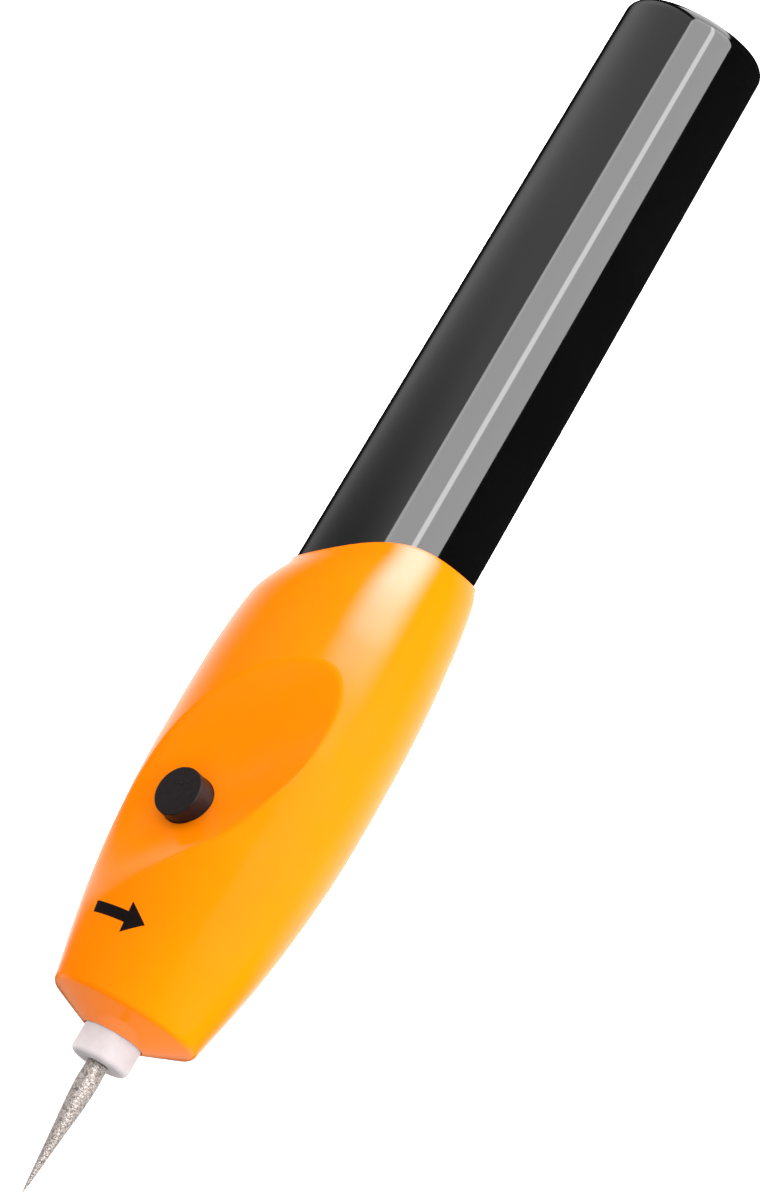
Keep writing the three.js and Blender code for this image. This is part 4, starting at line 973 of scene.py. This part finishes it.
def soften(light, soft):
    """Fade a light out over the shares of its width and height. Across it, 1 is left and 0 is right."""
    light.use_nodes = True
    tree = light.node_tree
    emission = tree.nodes["Emission"]
    place_on = tree.nodes.new("ShaderNodeSeparateXYZ")
    tree.links.new(tree.nodes.new("ShaderNodeNewGeometry").outputs["Parametric"], place_on.inputs[0])
    level = None
    for axis, start, share in (("X", 1, soft[0]), ("X", 0, soft[1]), ("Y", 0, soft[2]), ("Y", 1, soft[3])):
        if share == 0:
            continue
        fade = tree.nodes.new("ShaderNodeMapRange")
        fade.interpolation_type = "SMOOTHSTEP"
        fade.inputs["From Min"].default_value = start
        fade.inputs["From Max"].default_value = start + share * (1 - 2 * start)
        tree.links.new(place_on.outputs[axis], fade.inputs["Value"])
        if level is not None:
            both = tree.nodes.new("ShaderNodeMath")
            both.operation = "MULTIPLY"
            tree.links.new(level, both.inputs[0])
            tree.links.new(fade.outputs["Result"], both.inputs[1])
            level = both.outputs["Value"]
        else:
            level = fade.outputs["Result"]
    tree.links.new(level, emission.inputs["Strength"])


def group(name, pieces):
    """Pieces that some lights light alone."""
    made = bpy.data.collections.new("lit_" + name)
    for piece in pieces:
        made.objects.link(piece)
    return made


def floor():
    """The floor lies below the pen's tail, so that the battery tube stays in sight when it is drawn off."""
    side = FLOOR_HALF_WIDTH
    mesh = bpy.data.meshes.new("floor")
    corners = [(-side, -side), (side, -side), (side, side), (-side, side)]
    mesh.from_pydata([(x, y, -FLOOR_DEPTH) for x, y in corners], [], [(0, 1, 2, 3)])
    paint = Paint("floor_paper", colour=(0.5, 0.5, 0.5), roughness=0.9, Emission_Color=(1, 1, 1, 1),
                  Emission_Strength=1.0)
    paint.tinted(paint.between(paint.noise(FLOOR_PATCH, detail=2.0), 0.0, 1.0), other=(0.52, 0.52, 0.52))
    mesh.materials.append(paint.material)
    obj = bpy.data.objects.new("floor", mesh)
    bpy.context.scene.collection.objects.link(obj)
    obj.visible_glossy = False
    obj.visible_shadow = False


def room():
    """White where the camera sees it, dark in reflections, and a soft even light on dull surfaces."""
    world = bpy.data.worlds.new("room")
    world.use_nodes = True
    tree = world.node_tree
    background = tree.nodes["Background"]
    background.inputs["Color"].default_value = (1, 1, 1, 1)
    path = tree.nodes.new("ShaderNodeLightPath")

    def choose(ray, other, level):
        made = tree.nodes.new("ShaderNodeMix")
        made.data_type = "FLOAT"
        tree.links.new(path.outputs[ray], made.inputs["Factor"])
        if isinstance(other, float):
            made.inputs["A"].default_value = other
        else:
            tree.links.new(other, made.inputs["A"])
        made.inputs["B"].default_value = level
        return made.outputs["Result"]

    light = choose("Is Glossy Ray", ROOM_LIGHT, ROOM_REFLECTION)
    tree.links.new(choose("Is Camera Ray", light, 1.0), background.inputs["Strength"])
    world.cycles.sampling_method = "NONE"
    bpy.context.scene.world = world


def studio():
    """A white room, and lights that each make one reflection or fill on some of the pieces."""
    floor()
    room()
    tube = bpy.data.objects["battery_tube_shell"]
    shell = bpy.data.objects["grip_moulding"]
    collar = bpy.data.objects["chuck_sleeve"]
    dark = [bpy.data.objects[name] for name in ("power_button_cap", "turning_arrow")]
    others = [obj for obj in bpy.data.objects if obj.type == "MESH" and obj not in (tube, shell)]
    groups = {
        "tube": group("tube", [tube]),
        "collar": group("collar", [collar]),
        "but_collar": group("but_collar", [tube, shell] + [obj for obj in others if obj != collar]),
        "grip": group("grip", [shell]),
        "others": group("others", others),
        "dark": group("dark", dark),
        "small": group("small", [obj for obj in others if obj not in dark]),
    }
    for light in GLOSS_LIGHTS:
        panel(groups, True, **light)
    for light in DULL_LIGHTS:
        panel(groups, False, **light)
    bpy.context.scene.view_settings.view_transform = "Standard"


camera()
finish_cad_nodes()
battery_tube()
grip()
turning_arrow()
power_button()
chuck_collar()
engraving_bur()
battery_cells()
studio()
